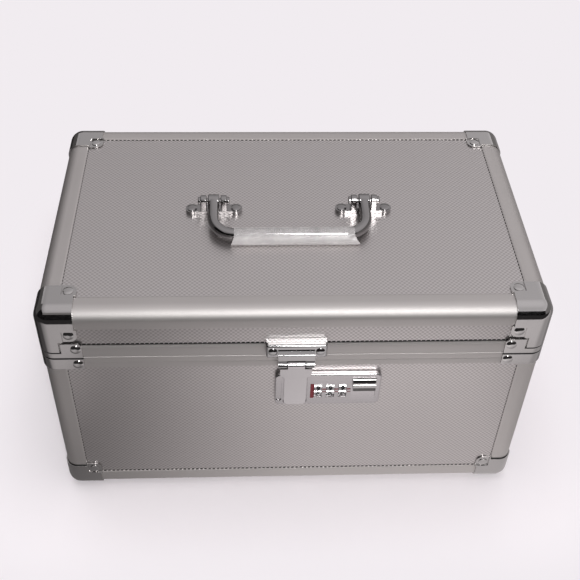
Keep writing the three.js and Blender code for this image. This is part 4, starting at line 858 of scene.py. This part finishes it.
# ---------------------------------------------------------------------------
# Strike plate and hasp
# A pressed strike plate on the lid carries the hasp on a pin. The hasp leans in from its barrel
# to a crease, and its flat foot lies in the lock's recess with a staple behind it.
LATCH_X = 0.5
STRIKE_HALF, STRIKE_Z, STRIKE_DEPTH, STRIKE_WALL = 19.3, (139.0, 150.4), 4.2, 1.2
STRIKE_BLOCK_HALF, STRIKE_BLOCK_FRONT, STRIKE_BLOCK_TOP = 11.6, 6.8, 144.4
STRIKE_RIVET, STRIKE_RIVET_RADIUS = (15.0, 144.7), 2.9
TRAY_EDGE, LIP_IN, STEP_SLOPE, STEP_BEVEL, PRESSED_EDGE = 1.5, 0.3, 1.0, 0.7, 0.16
HASP_AXIS = (-6.4, 135.6)
KNUCKLE, KNUCKLE_HALF, SWEEP, HASP_PIN, CHEEK_GAP = 2.4, 5.4, 3.5, 1.2, 0.7
HASP_FRONT, HASP_THICK, HASP_LOW, HASP_CREASE, HASP_EDGE = 3.8, 1.8, 93.0, 118.2, 0.35
HASP_HALF, NECK_HALF, NECK_LOW, NECK_HIGH, SHOULDER, FOOT_RADIUS = 7.2, 10.2, 119.6, 124.0, 132.3, 3.0
STAPLE_WIDE, STAPLE_BACK, STAPLE_Z, STAPLE_WALL, STAPLE_SUNK = 2.6, 6.0, (102.5, 109.5), 1.1, 0.8
BOLT_Y = (3.6, 5.6)


def rounded_outline(u, v, radius):
    low_u, high_u, low_v, high_v = u[0] + radius, u[1] - radius, v[0] + radius, v[1] - radius
    corners = ((high_u, low_v, -90), (high_u, high_v, 0), (low_u, high_v, 90), (low_u, low_v, 180))
    return [point for a, b, start in corners for point in arc((a, b), radius, start, start + 90)]


# Bright nickel on a steel pressing, a little dulled by handling: it mirrors the sheet round it.
worn_nickel = metal("worn_nickel_on_steel", "#b4b3b3", "#acabab", 0.1, 0.03, 1.5, 0.003)
# Pearl nickel over a bead-blasted casting: soft reflections without a mirror image.
pearl_nickel = metal("pearl_nickel_casting", "#cfcccd", "#c8c5c6", 0.24, 0.03, 1.0, 0.004)
# The hasp is a pressing with the same plate, paler for its smoother steel.
satin_nickel = metal("satin_nickel_pressing", "#e8e5e6", "#e1dedf", 0.24, 0.03, 1.0, 0.004)

tray = soften(block(about(LATCH_X, STRIKE_HALF), (-STRIKE_DEPTH, 0), STRIKE_Z), TRAY_EDGE, 6)
lip = block(about(LATCH_X, STRIKE_HALF - LIP_IN), (-STRIKE_WALL, SKIN),
            (LID_RIM_HIGH + CUT_GAP, STRIKE_Z[1] - LIP_IN))
raised = prism([
    (-STRIKE_WALL, STRIKE_Z[0]), (-STRIKE_BLOCK_FRONT, STRIKE_Z[0]),
    *arc((STEP_BEVEL - STRIKE_BLOCK_FRONT, STRIKE_BLOCK_TOP - STEP_BEVEL), STEP_BEVEL, 180, 110, 5),
    (-STRIKE_DEPTH, STRIKE_BLOCK_TOP + STEP_SLOPE), (-STRIKE_WALL, STRIKE_BLOCK_TOP + STEP_SLOPE),
], "x", *about(LATCH_X, STRIKE_BLOCK_HALF))
strike = combine("UNION", tray, lip, raised)
for way in (-1, 1):
    near, far = sorted((LATCH_X + way * (KNUCKLE_HALF + CHEEK_GAP), LATCH_X + way * STRIKE_BLOCK_HALF))
    web = block((near, far), (-STRIKE_BLOCK_FRONT, -STRIKE_DEPTH), (HASP_AXIS[1], STRIKE_Z[0] + STRIKE_WALL))
    strike = combine("UNION", strike, web, rod(KNUCKLE, HASP_AXIS, "x", near, far))
pin_hole = rod(HASP_PIN + PIN_GAP, HASP_AXIS, "x", *about(LATCH_X, STRIKE_BLOCK_HALF + OVERRUN))
sweep = rod(SWEEP, HASP_AXIS, "x", *about(LATCH_X, KNUCKLE_HALF + CHEEK_GAP))
strike = soften(combine("DIFFERENCE", strike, pin_hole, sweep), PRESSED_EDGE, 2, 55)
rivets = [dome((x, STRIKE_RIVET[1]), "y", -STRIKE_DEPTH, -1, STRIKE_RIVET_RADIUS)
          for x in about(LATCH_X, STRIKE_RIVET[0])]
add_piece("strike", merged(strike, *rivets), "lid", worn_nickel,
          ["strike_plate"], crease=40)


def neck_front(height):
    share = (height - HASP_CREASE) / (HASP_AXIS[1] - HASP_CREASE)
    return -HASP_FRONT + share * (HASP_AXIS[0] - KNUCKLE + HASP_FRONT)


def leaning(top):
    front = neck_front(top)
    return [(-HASP_FRONT, HASP_CREASE), (front, top), (min(front + HASP_THICK, HASP_AXIS[0]), top),
            (HASP_THICK - HASP_FRONT, HASP_CREASE)]


hasp_back = HASP_THICK - HASP_FRONT
foot_z = (HASP_LOW, HASP_CREASE + FOOT_RADIUS)
foot = prism(rounded_outline(about(LATCH_X, HASP_HALF), foot_z, FOOT_RADIUS), "y", -HASP_FRONT, hasp_back)
foot = combine("DIFFERENCE", foot, block(
    about(LATCH_X, HASP_HALF + OVERRUN), (-HASP_FRONT - OVERRUN, hasp_back + OVERRUN),
    (HASP_CREASE, HASP_CREASE + 2 * FOOT_RADIUS)))
half_shape = [(HASP_HALF, HASP_CREASE), (HASP_HALF, NECK_LOW), (NECK_HALF, NECK_HIGH), (NECK_HALF, SHOULDER)]
neck_shape = [(LATCH_X - x, z) for x, z in half_shape] + [(LATCH_X + x, z) for x, z in reversed(half_shape)]
neck = combine("INTERSECT", prism(leaning(SHOULDER), "x", *about(LATCH_X, NECK_HALF + OVERRUN)),
               prism(neck_shape, "y", HASP_AXIS[0] - KNUCKLE - OVERRUN, STAPLE_BACK))
tongue = prism(leaning(HASP_AXIS[1]), "x", *about(LATCH_X, KNUCKLE_HALF))
hasp = combine("UNION", foot, neck, tongue, rod(KNUCKLE, HASP_AXIS, "x", *about(LATCH_X, KNUCKLE_HALF)))
bore = rod(HASP_PIN + RUN_GAP, HASP_AXIS, "x", *about(LATCH_X, KNUCKLE_HALF + OVERRUN))
hasp = combine("DIFFERENCE", hasp, bore)
staple = combine(
    "DIFFERENCE",
    block(about(LATCH_X, STAPLE_WIDE / 2), (hasp_back - STAPLE_SUNK, STAPLE_BACK), STAPLE_Z),
    block(about(LATCH_X, STAPLE_WIDE), (BOLT_Y[0] - SLIDE_GAP, BOLT_Y[1] + SLIDE_GAP),
          (STAPLE_Z[0] + STAPLE_WALL, STAPLE_Z[1] - STAPLE_WALL)),
)
add_piece("hasp_plate", combine("UNION", soften(hasp, HASP_EDGE, 3), staple), "hasp", satin_nickel,
          ["hasp"], crease=35)

# ---------------------------------------------------------------------------
# Lock face
# One zinc casting: a recess for the hasp, a slot for its staple, three dial windows, a seat for
# the red mark, and a dished recess for the thumb slide that runs out towards the bottom.
LOCK_X, LOCK_Z, LOCK_FRONT, LOCK_RADIUS, LOCK_EDGE = (-12.8, 57.0), (91.0, 121.0), 2.5, 4.0, 1.1
HASP_FLOOR, HASP_RECESS_GAP, HASP_FLARE = 1.5, 0.8, 3.0
DIAL_X = (15.7, 23.8, 31.9)
DIAL_RADIUS, DIAL_Y, DIAL_Z, DIAL_SIDES = 9.65, 6.15, 105.9, 64
WINDOW_WIDE, WINDOW_Z, DIAL_ROOM = 5.3, (98.3, 111.2), 0.35
MARK_WIDE, MARK_Z, MARK_DEPTH, MARK_PROUD = 2.4, (97.7, 111.6), 1.3, 0.2
SLIDE_X, DISH_X, SLIDE_TOP, SLIDE_LOW, SLIDE_SLOPE, SLIDE_DEEP = 47.9, (37.8, 53.7), 117.0, 96.0, 102.5, 1.6
EAR_X, EAR_Z, EAR_RADIUS, EAR_DEEP = (-11.9, -8.4), (94.7, 116.2), 1.7, 0.9
STEM_WIDE, STEM_Z, SLIDE_TRAVEL = 3.4, (112.0, 116.4), 5.0
STAPLE_ROOM, CUT_EDGE = 2.7, 0.15
through = (-LOCK_FRONT - OVERRUN, SKIN + OVERRUN)

lock = prism(rounded_outline(LOCK_X, LOCK_Z, LOCK_RADIUS), "y", -LOCK_FRONT, SKIN)
lock = soften(lock, LOCK_EDGE, 5, 60)
half = HASP_HALF + HASP_RECESS_GAP
low = HASP_LOW - HASP_RECESS_GAP
flare = [*arc((half - FOOT_RADIUS, low + FOOT_RADIUS), FOOT_RADIUS, 270, 360, 6),
         (half, LOCK_Z[1] - HASP_FLARE), (half + HASP_FLARE, LOCK_Z[1] + OVERRUN)]
recess = [(LATCH_X - x, z) for x, z in reversed(flare)] + [(LATCH_X + x, z) for x, z in flare]
cuts = [prism(recess, "y", through[0], -HASP_FLOOR)]
cuts.append(block(about(LATCH_X, STAPLE_WIDE / 2 + SLIDE_GAP), through,
                  (STAPLE_Z[0] - STAPLE_ROOM, STAPLE_Z[1] + SLIDE_GAP)))
for x in DIAL_X:
    span = about(x, WINDOW_WIDE / 2)
    cuts.append(block(span, through, WINDOW_Z))
    cuts.append(rod(DIAL_RADIUS + DIAL_ROOM, (DIAL_Y, DIAL_Z), "x", *span, DIAL_SIDES))
mark_x = (DIAL_X[0] - WINDOW_WIDE / 2 - MARK_WIDE, DIAL_X[0] - WINDOW_WIDE / 2)
cuts.append(block(mark_x, (through[0], MARK_DEPTH - LOCK_FRONT), MARK_Z))
cuts.append(prism(rounded_outline(EAR_X, EAR_Z, EAR_RADIUS), "y", through[0], EAR_DEEP - LOCK_FRONT))
dish_y = SLIDE_DEEP - LOCK_FRONT
dish = [(through[0], SLIDE_TOP), (dish_y, SLIDE_TOP), (dish_y, SLIDE_SLOPE),
        (-LOCK_FRONT, SLIDE_LOW), (through[0], SLIDE_LOW)]
cuts.append(prism(dish, "x", *DISH_X))
stem_half = STEM_WIDE / 2 + SLIDE_GAP
cuts.append(block(about(SLIDE_X, stem_half), through,
                  (STEM_Z[0] - SLIDE_TRAVEL - SLIDE_GAP, STEM_Z[1] + SLIDE_GAP)))
lock = soften(combine("DIFFERENCE", lock, *cuts), CUT_EDGE, 2, 50)
add_piece("lock_face", lock, "base", pearl_nickel, ["lock_body"], crease=35)

# ---------------------------------------------------------------------------
# Red mark
# A moulded plastic block beside the first window, and thin red lines that join the windows at
# the height where the combination is read.
LINE_Z, LINE_HALF = (106.3, 103.7), (0.55, 0.3)
LINE_PROUD, LINE_SUNK, LINE_GAP, MARK_EDGE = 0.06, 0.2, 0.1, 0.12


def flecked(name, dark, pale, fleck, roughness, **inputs):
    """A plain material with flecks between two hex values; fleck is their size in millimetres."""
    material, tree, output = new_material(name)
    place = add_node(tree, "ShaderNodeTexCoord")
    cloud = add_node(tree, "ShaderNodeTexNoise", {
        "Vector": (place, "Object"), "Scale": METRE / fleck, "Detail": 2.0})
    shade = add_node(tree, "ShaderNodeMixRGB", {
        "Fac": (cloud, "Fac"), "Color1": colour(dark), "Color2": colour(pale)})
    surface = add_node(tree, "ShaderNodeBsdfPrincipled", {
        "Base Color": (shade, "Color"), "Roughness": roughness, **inputs})
    tree.links.new(surface.outputs["BSDF"], output.inputs["Surface"])
    return material


# Red moulded plastic: it keeps a soft sheen from its mould, and its red is dark and uneven.
red_plastic = flecked("red_moulded_plastic", "#5c0e17", "#701621", 1.5, 0.4, IOR=1.49)
mark = block(mark_x, (-LOCK_FRONT - MARK_PROUD, MARK_DEPTH - LOCK_FRONT), MARK_Z)
add_piece("red_mark", soften(mark, MARK_EDGE), "base", red_plastic, ["red_index"])
lines = []
for x in DIAL_X:
    edge = x + WINDOW_WIDE / 2 + LINE_GAP
    span = (edge, x + DIAL_X[1] - DIAL_X[0] - WINDOW_WIDE / 2 - LINE_GAP)
    for z, half in zip(LINE_Z, LINE_HALF):
        lines.append(block(span, (-LOCK_FRONT - LINE_PROUD, -LOCK_FRONT + LINE_SUNK), about(z, half)))
add_piece("red_lines", merged(*lines), "base", red_plastic)

# ---------------------------------------------------------------------------
# Combination dials
# Turned and chromed wheels with a flat for each of ten digits and a notch between each two.
# The digits are stamped and filled with black enamel.
DIAL_WIDE, DIAL_HALF_TOP, DIAL_HALF_FLAT, DIAL_BEVEL, DIAL_NOTCH, SPINDLE = 4.8, 8.0, 14.5, 0.32, 0.8, 1.5
DIGITS, DIGIT_STEP, ZERO_TURN, NOTCH_HALF, DIAL_EDGE = 10, 36.0, -24.0, 1.5, 0.12
DIGIT_HIGH, FONT_SHARE, DIGIT_BOLD, DIGIT_PROUD = 3.7, 0.7, 0.23, 0.03
DIAL_TURNS = (
    (-DIAL_HALF_FLAT, -DIAL_HALF_FLAT, DIAL_BEVEL, 0), (-DIAL_HALF_TOP, DIAL_HALF_TOP, 0, 1),
    (DIAL_HALF_FLAT, DIAL_HALF_FLAT, DIAL_BEVEL, 0),
    (DIGIT_STEP / 2 - NOTCH_HALF, DIGIT_STEP / 2 + NOTCH_HALF, DIAL_NOTCH, 1),
)


def dial_wheel(x):
    outline = []
    for digit in range(DIGITS):
        middle = 180 - ZERO_TURN + digit * DIGIT_STEP
        for start, end, deep, steps in DIAL_TURNS:
            outline += arc((DIAL_Y, DIAL_Z), DIAL_RADIUS - deep, middle + start, middle + end, steps)
    wheel = prism(outline, "x", *about(x, DIAL_WIDE / 2))
    bore = rod(SPINDLE + RUN_GAP, (DIAL_Y, DIAL_Z), "x", *about(x, DIAL_WIDE))
    return soften(combine("DIFFERENCE", wheel, bore), DIAL_EDGE, 2, 30)


# Satin chrome on the wheels: lighter and softer than the caps, so the digits stand out.
satin_chrome = metal("satin_chromed_brass", "#f4f3f3", "#ecebeb", 0.3, 0.02, 1.0, 0.002)
# Black enamel fills the stamped digits: a hard semi-gloss coat, worn a little grey.
black_enamel = flecked("black_enamel_fill", "#101013", "#232327", 0.6, 0.35)


def digit_mesh(text):
    """A digit as a flat mesh, centred, a millimetre for each unit."""
    curve = bpy.data.curves.new("digit", "FONT")
    curve.body, curve.size = text, DIGIT_HIGH / FONT_SHARE
    curve.offset, curve.extrude = DIGIT_BOLD, DIGIT_PROUD
    curve.align_x, curve.align_y = "CENTER", "CENTER"
    mesh = evaluated(linked(curve))
    corners = np.array([v.co for v in mesh.vertices])
    middle = (corners.min(0) + corners.max(0)) / 2
    mesh.transform(Matrix.Translation(-Vector(middle)))
    return mesh


numerals = [digit_mesh(str(digit)) for digit in range(DIGITS)]
upright_face = Matrix.Translation((0, -DIAL_RADIUS, 0)) @ Matrix.Rotation(math.pi / 2, 4, "X")
for i, x in enumerate(DIAL_X, 1):
    add_piece(f"dial_wheel_{i}", dial_wheel(x), f"dial_{i}", satin_chrome, [f"dial_{i}"],
              crease=25)
    marks = []
    for digit, numeral in enumerate(numerals):
        turned = numeral.copy()
        tilt = Matrix.Rotation(math.radians(digit * DIGIT_STEP - ZERO_TURN), 4, "X")
        turned.transform(Matrix.Translation((x, DIAL_Y, DIAL_Z)) @ tilt @ upright_face)
        marks.append(turned)
    add_piece(f"dial_digits_{i}", merged(*marks), f"dial_{i}", black_enamel)

# ---------------------------------------------------------------------------
# Thumb slide
# A chromed thumb piece with a serrated band at its foot, on a stem through the lock's face.
THUMB_X, THUMB_Z, THUMB_FRONT, THUMB_BAND, THUMB_DROP = (38.3, 53.2), (107.3, 116.5), 6.0, 3.0, 0.5
TEETH, TOOTH_DEPTH, BODY_TOP, THUMB_EDGE = 5, 0.1, 113.8, 0.6
CROWN_Y, CROWN_ROUND, BROW_ROUND, CROWN_LEAN = -2.9, 0.8, 0.9, 20
PLATE_WIDE, PLATE_Y, PLATE_UNDER, STEM_SUNK = 8.0, (1.3, 3.3), 1.8, 0.8
PIN_Z, PIN_RADIUS, PIN_END, PIN_SUNK = 108.074, 0.9, 7.9, 1
floor_y = SLIDE_DEEP - LOCK_FRONT - SLIDE_GAP
band_y = THUMB_DROP - THUMB_FRONT
tooth = THUMB_BAND / TEETH
profile = [(floor_y, THUMB_Z[0])]
for i in range(TEETH):
    profile += [(band_y, THUMB_Z[0] + i * tooth), (band_y - TOOTH_DEPTH, THUMB_Z[0] + (i + 0.5) * tooth)]
lean, crown_z = math.radians(CROWN_LEAN), THUMB_Z[1] - CROWN_ROUND
brow = (CROWN_Y - CROWN_ROUND * math.cos(lean), crown_z + CROWN_ROUND * math.sin(lean))
band_top = THUMB_Z[0] + THUMB_BAND
profile += [
    (band_y, band_top),
    *arc((CROWN_ROUND - THUMB_FRONT, band_top + CROWN_ROUND), CROWN_ROUND, 255, 180, 4),
    *arc((BROW_ROUND - THUMB_FRONT, BODY_TOP - BROW_ROUND), BROW_ROUND, 180, 90, 6),
    (brow[0] - (brow[1] - BODY_TOP) * math.tan(lean), BODY_TOP),
    *arc((CROWN_Y, crown_z), CROWN_ROUND, 180 - CROWN_LEAN, 90, 5), (floor_y, THUMB_Z[1]),
]
thumb = prism(profile, "x", *THUMB_X)
stem = block(about(SLIDE_X, STEM_WIDE / 2), (floor_y - STEM_SUNK, PLATE_Y[1]), STEM_Z)
plate = block(about(SLIDE_X, PLATE_WIDE / 2), PLATE_Y, (PIN_Z - PLATE_UNDER, STEM_Z[1]))
pin = rod(PIN_RADIUS, (SLIDE_X, PIN_Z), "y", PLATE_Y[1] - PIN_SUNK, PIN_END)
slide = combine("UNION", soften(thumb, THUMB_EDGE, 4, 60), stem, plate, pin)
add_piece("thumb_slide", slide, "lock_slide", nickel_plate, ["lock_slide"], crease=30)

# ---------------------------------------------------------------------------
# Lock works
# The housing is moulded in black plastic. The spindle, pins, crank and bolt are zinc-plated
# steel. They are plain shapes, so the CAD solids stay and take their finish here.

# Black moulded plastic: a spark-eroded mould leaves fine pits, which break up its sheen.
housing_plastic, tree, output = new_material("black_moulded_plastic")
place = add_node(tree, "ShaderNodeTexCoord")
spark = add_node(tree, "ShaderNodeTexVoronoi", {"Vector": (place, "Object"), "Scale": METRE / 0.7})
height = add_node(tree, "ShaderNodeBump", {
    "Height": (spark, "Distance"), "Strength": 0.5, "Distance": 0.00008})
surface = add_node(tree, "ShaderNodeBsdfPrincipled", {
    "Base Color": colour("#1c1c1f"), "Roughness": 0.55, "IOR": 1.53, "Normal": (height, "Normal")})
tree.links.new(surface.outputs["BSDF"], output.inputs["Surface"])
# Zinc-plated steel: a dull blue-grey coat whose reflections are blurred.
zinc_plate = metal("zinc_plated_steel", "#a4a6aa", "#8b8d92", 0.32, 0.06, 1.4, 0.006)
for name in ("lock_housing", "hasp_pin", "dial_spindle", "bell_crank", "latch_bolt"):
    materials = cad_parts[name].data.materials
    materials.clear()
    materials.append(housing_plastic if name == "lock_housing" else zinc_plate)

# ---------------------------------------------------------------------------
# Floor and light
# White paper under the case, an even room above it, and one soft box in front, to the right.
# Dark cards stand low round the set, as they do for shiny metal; only reflections show them.
# The paper lies 0.1 mm low, so that it shares no plane with the bottom caps.
FLOOR_SIZE, FLOOR_LOW = 60.0, -0.0001
SHADE_MIDDLE, SHADE_HALF, SHADE_FADE = (0, 0.0375, 0), (0.17, 0.1425, 0), (0.025, 0.085)
PAPER_TONE = "#f1ecf0"


def staged(name, points, faces, material):
    mesh = bpy.data.meshes.new(name)
    mesh.from_pydata(points, [], faces)
    mesh.materials.append(material)
    made = linked(mesh, name)
    return made


paper, tree, output = new_material("matt_paper")
surface = add_node(tree, "ShaderNodeBsdfPrincipled", {
    "Base Color": colour("#f8f4f7"), "Roughness": 0.9, "Specular IOR Level": 0.2})
# Away from the case and its shadow, the paper is one even pale tone out to the horizon.
place = add_node(tree, "ShaderNodeTexCoord")
shifted = add_node(tree, "ShaderNodeVectorMath", {
    0: (place, "Object"), 1: SHADE_MIDDLE}, operation="SUBTRACT")
folded = add_node(tree, "ShaderNodeVectorMath", {0: (shifted, 0)}, operation="ABSOLUTE")
beyond = add_node(tree, "ShaderNodeVectorMath", {0: (folded, 0), 1: SHADE_HALF}, operation="SUBTRACT")
beyond = add_node(tree, "ShaderNodeVectorMath", {0: (beyond, 0), 1: (0, 0, 0)}, operation="MAXIMUM")
away = add_node(tree, "ShaderNodeVectorMath", {0: (beyond, 0)}, operation="LENGTH")
fade = add_node(tree, "ShaderNodeMapRange", {
    "Value": (away, "Value"), "From Min": SHADE_FADE[0], "From Max": SHADE_FADE[1]},
    interpolation_type="SMOOTHSTEP")
path = add_node(tree, "ShaderNodeLightPath")
seen = add_node(tree, "ShaderNodeMath", {
    0: (path, "Is Camera Ray"), 1: (path, "Is Glossy Ray")}, operation="MAXIMUM")
seen = add_node(tree, "ShaderNodeMath", {0: (seen, 0), 1: (path, "Is Transmission Ray")}, operation="MAXIMUM")
share = add_node(tree, "ShaderNodeMath", {0: (seen, 0), 1: (fade, 0)}, operation="MULTIPLY")
pale = add_node(tree, "ShaderNodeEmission", {"Color": colour(PAPER_TONE)})
mixed = add_node(tree, "ShaderNodeMixShader", {0: (share, 0), 1: (surface, "BSDF"), 2: (pale, "Emission")})
tree.links.new(mixed.outputs["Shader"], output.inputs["Surface"])
half = FLOOR_SIZE / 2
staged("floor", [(x, y, FLOOR_LOW) for x, y in ((-half, -half), (half, -half), (half, half), (-half, half))],
       [(0, 1, 2, 3)], paper)

BOX_PLACE, BOX_AIM, BOX_SIZE, BOX_POWER = (0.22, -1.515, 1.2), (0.02, -0.09, 0.15), (0.3, 0.95), 15
lamp_data = bpy.data.lights.new("soft_box", "AREA")
lamp_data.shape, lamp_data.size, lamp_data.size_y = "RECTANGLE", *BOX_SIZE
lamp_data.energy = BOX_POWER
lamp = linked(lamp_data, "soft_box")
facing = (Vector(BOX_AIM) - Vector(BOX_PLACE)).to_track_quat("-Z", "Y")
lamp.matrix_world = Matrix.Translation(BOX_PLACE) @ facing.to_matrix().to_4x4()

# A wide fill hangs over the back of the set, out of sight of the metal.
FILL_PLACE, FILL_SIZE, FILL_POWER = (-0.3, 1.0, 2.6), 2.4, 25
fill_data = bpy.data.lights.new("overhead_fill", "AREA")
fill_data.size, fill_data.energy = FILL_SIZE, FILL_POWER
fill = linked(fill_data, "overhead_fill")
fill.location = FILL_PLACE
fill.visible_glossy = False

# Black cards in front and on the left, dim ones on the left and behind, grey ones elsewhere.
CARD_REACH, CARD_TOP = 2.2, 1.35
SIDE_TOP, BACK_TOP, LEFT_TOP, HIGH_TOP = 2.4, 1.1, 1.8, 2.9
FRONT_END, LEFT_SPLIT, OVERLAP, DIM_GLOW, GREY_GLOW = -0.3, -0.2, 0.01, 0.09, 0.22


def glowing_card(name, strength):
    """Grey card as a reflection sees it: an even glow, whatever light falls on it."""
    material, tree, output = new_material(name)
    surface = add_node(tree, "ShaderNodeEmission", {"Color": colour("#fffaf9"), "Strength": strength})
    tree.links.new(surface.outputs["Emission"], output.inputs["Surface"])
    return material


def standing(name, cards, material):
    """Upright cards, each from one foot point to another and up to a height."""
    points = []
    for start, end, top in cards:
        points += [(*start, 0), (*end, 0), (*end, top), (*start, top)]
    return staged(name, points, [tuple(range(k, k + 4)) for k in range(0, len(points), 4)], material)


black_card, tree, output = new_material("black_card")
surface = add_node(tree, "ShaderNodeBsdfDiffuse", {"Color": colour("#161616")})
tree.links.new(surface.outputs["BSDF"], output.inputs["Surface"])
r = CARD_REACH
black_cards = standing("black_cards", [
    ((-r, LEFT_SPLIT), (-r, -r), SIDE_TOP), ((-r, -r), (r, -r), CARD_TOP),
    ((-r, OVERLAP - r), (FRONT_END, OVERLAP - r), LEFT_TOP)], black_card)
dim_cards = standing("dim_cards", [
    ((-r, r), (-r, LEFT_SPLIT), SIDE_TOP), ((-r, r), (-r / 4, r), BACK_TOP)],
    glowing_card("dim_card", DIM_GLOW))
grey_cards = standing("grey_cards", [
    ((r, -r), (r, r), CARD_TOP), ((-r / 4, r), (r, r), BACK_TOP),
    ((-r, -r - OVERLAP), (FRONT_END, -r - OVERLAP), HIGH_TOP)], glowing_card("grey_card", GREY_GLOW))

# The floor card glows and only reflections see it: it paints the floor's reflection in the metal, with a
# painted pool of light in front of the case, grey on its right and behind it, black elsewhere.
NEAR, CARD_HEIGHT, LEFT = (-0.288, -0.274), 0.0012, (-0.42, -0.17)
POOL, POOL_LEFT, POOL_RIGHT = (-0.2, 0.05), 0.11, 0.56
POOL_END, POOL_LAST = (0.15, 0.21), 0.68
FAR, FAR_GAIN, PATCH_X, PATCH_Y, PATCH = (-0.17, -0.25), 1.7, (-0.185, -0.145), (-0.15, -0.19), 0.3
DARK, GREY, BEHIND_FADE, RIGHT_FADE = 0.03, 0.25, 0.05, 0.1
HIDDEN = 0.006
x0, x1 = about(0, WIDTH / 2 / METRE - HIDDEN)
y0, y1 = origin.y + HIDDEN, origin.y + DEPTH / METRE - HIDDEN
graded_card, tree, output = new_material("graded_floor_card")
place = add_node(tree, "ShaderNodeTexCoord")
parts = add_node(tree, "ShaderNodeSeparateXYZ", {"Vector": (place, "Object")})


def graded(*steps):
    """The product of smooth steps, each as (axis, start, end, share before it, share after it)."""
    total = None
    for axis, start, end, before, after in steps:
        step = add_node(tree, "ShaderNodeMapRange", {
            "Value": (parts, axis), "From Min": start, "From Max": end, "To Min": before, "To Max": after},
            interpolation_type="SMOOTHSTEP")
        total = step if total is None else add_node(
            tree, "ShaderNodeMath", {0: (total, 0), 1: (step, 0)}, operation="MULTIPLY")
    return total


front = (("Y", *NEAR, 0, 1), ("X", *LEFT, 0, 1))
past_front = ("Y", y0, y0 + BEHIND_FADE, 0, 1)
pool = graded(*front, ("X", *POOL, POOL_LEFT, POOL_RIGHT), ("Y", *FAR, 1, FAR_GAIN),
              ("X", *POOL_END, 1, POOL_LAST))
patch = graded(*front, ("X", *PATCH_X, PATCH, 0), ("Y", *PATCH_Y, 0, 1))
pool = add_node(tree, "ShaderNodeMath", {0: (pool, 0), 1: (patch, 0)}, operation="ADD")
behind = graded(past_front, ("X", x0, x0 + RIGHT_FADE, 0, GREY))
level = add_node(tree, "ShaderNodeMix", {"Factor": (graded(past_front), 0), "A": (pool, 0), "B": (behind, 0)})
level = add_node(tree, "ShaderNodeMath", {0: (level, 0), 1: DARK}, operation="ADD")
surface = add_node(tree, "ShaderNodeEmission", {"Color": colour("#fff9fa"), "Strength": (level, "Value")})
tree.links.new(surface.outputs["Emission"], output.inputs["Surface"])
xs, ys = (-r, x0, x1, r), (-r, y0, y1, r)
cells = [(i, j) for i in range(3) for j in range(3) if (i, j) != (1, 1)]
floor_card = staged(
    "floor_card", [(x, y, CARD_HEIGHT) for x in xs for y in ys],
    [(4 * i + j, 4 * i + j + 4, 4 * i + j + 5, 4 * i + j + 1) for i, j in cells], graded_card)
for made in (black_cards, dim_cards, grey_cards, floor_card):
    made.visible_camera = made.visible_diffuse = made.visible_shadow = made.visible_transmission = False

world = bpy.data.worlds.new("studio")
bpy.context.scene.world = world
world.use_nodes = True
tree = world.node_tree
tree.nodes.clear()
direction = add_node(tree, "ShaderNodeTexCoord")
parts = add_node(tree, "ShaderNodeSeparateXYZ", {"Vector": (direction, "Generated")})
height = add_node(tree, "ShaderNodeMapRange", {
    "Value": (parts, "Z"), "From Min": 0.1, "From Max": 0.5, "To Min": 0.95, "To Max": 0.5})
zenith = add_node(tree, "ShaderNodeMapRange", {
    "Value": (parts, "Z"), "From Min": 0.75, "From Max": 0.95, "To Min": 0.0, "To Max": 0.15})
across = add_node(tree, "ShaderNodeMath", {
    0: (parts, "X"), 1: 0.2, 2: (height, "Result")}, operation="MULTIPLY_ADD")
total = add_node(tree, "ShaderNodeMath", {0: (across, "Value"), 1: (zenith, "Result")}, operation="ADD")
backdrop = add_node(tree, "ShaderNodeBackground", {"Color": colour("#fffbfd"), "Strength": (total, "Value")})
# Below the cards' tops the room has the paper's own pale tone, so that no horizon shows.
distant = add_node(tree, "ShaderNodeBackground", {"Color": colour(PAPER_TONE)})
rise = add_node(tree, "ShaderNodeMapRange", {"Value": (parts, "Z"), "From Min": 0.22, "From Max": 0.33},
                interpolation_type="SMOOTHSTEP")
room = add_node(tree, "ShaderNodeMixShader", {0: (rise, 0), 1: (distant, 0), 2: (backdrop, 0)})
add_node(tree, "ShaderNodeOutputWorld", {"Surface": (room, "Shader")})
bpy.context.scene.view_settings.view_transform = "Standard"
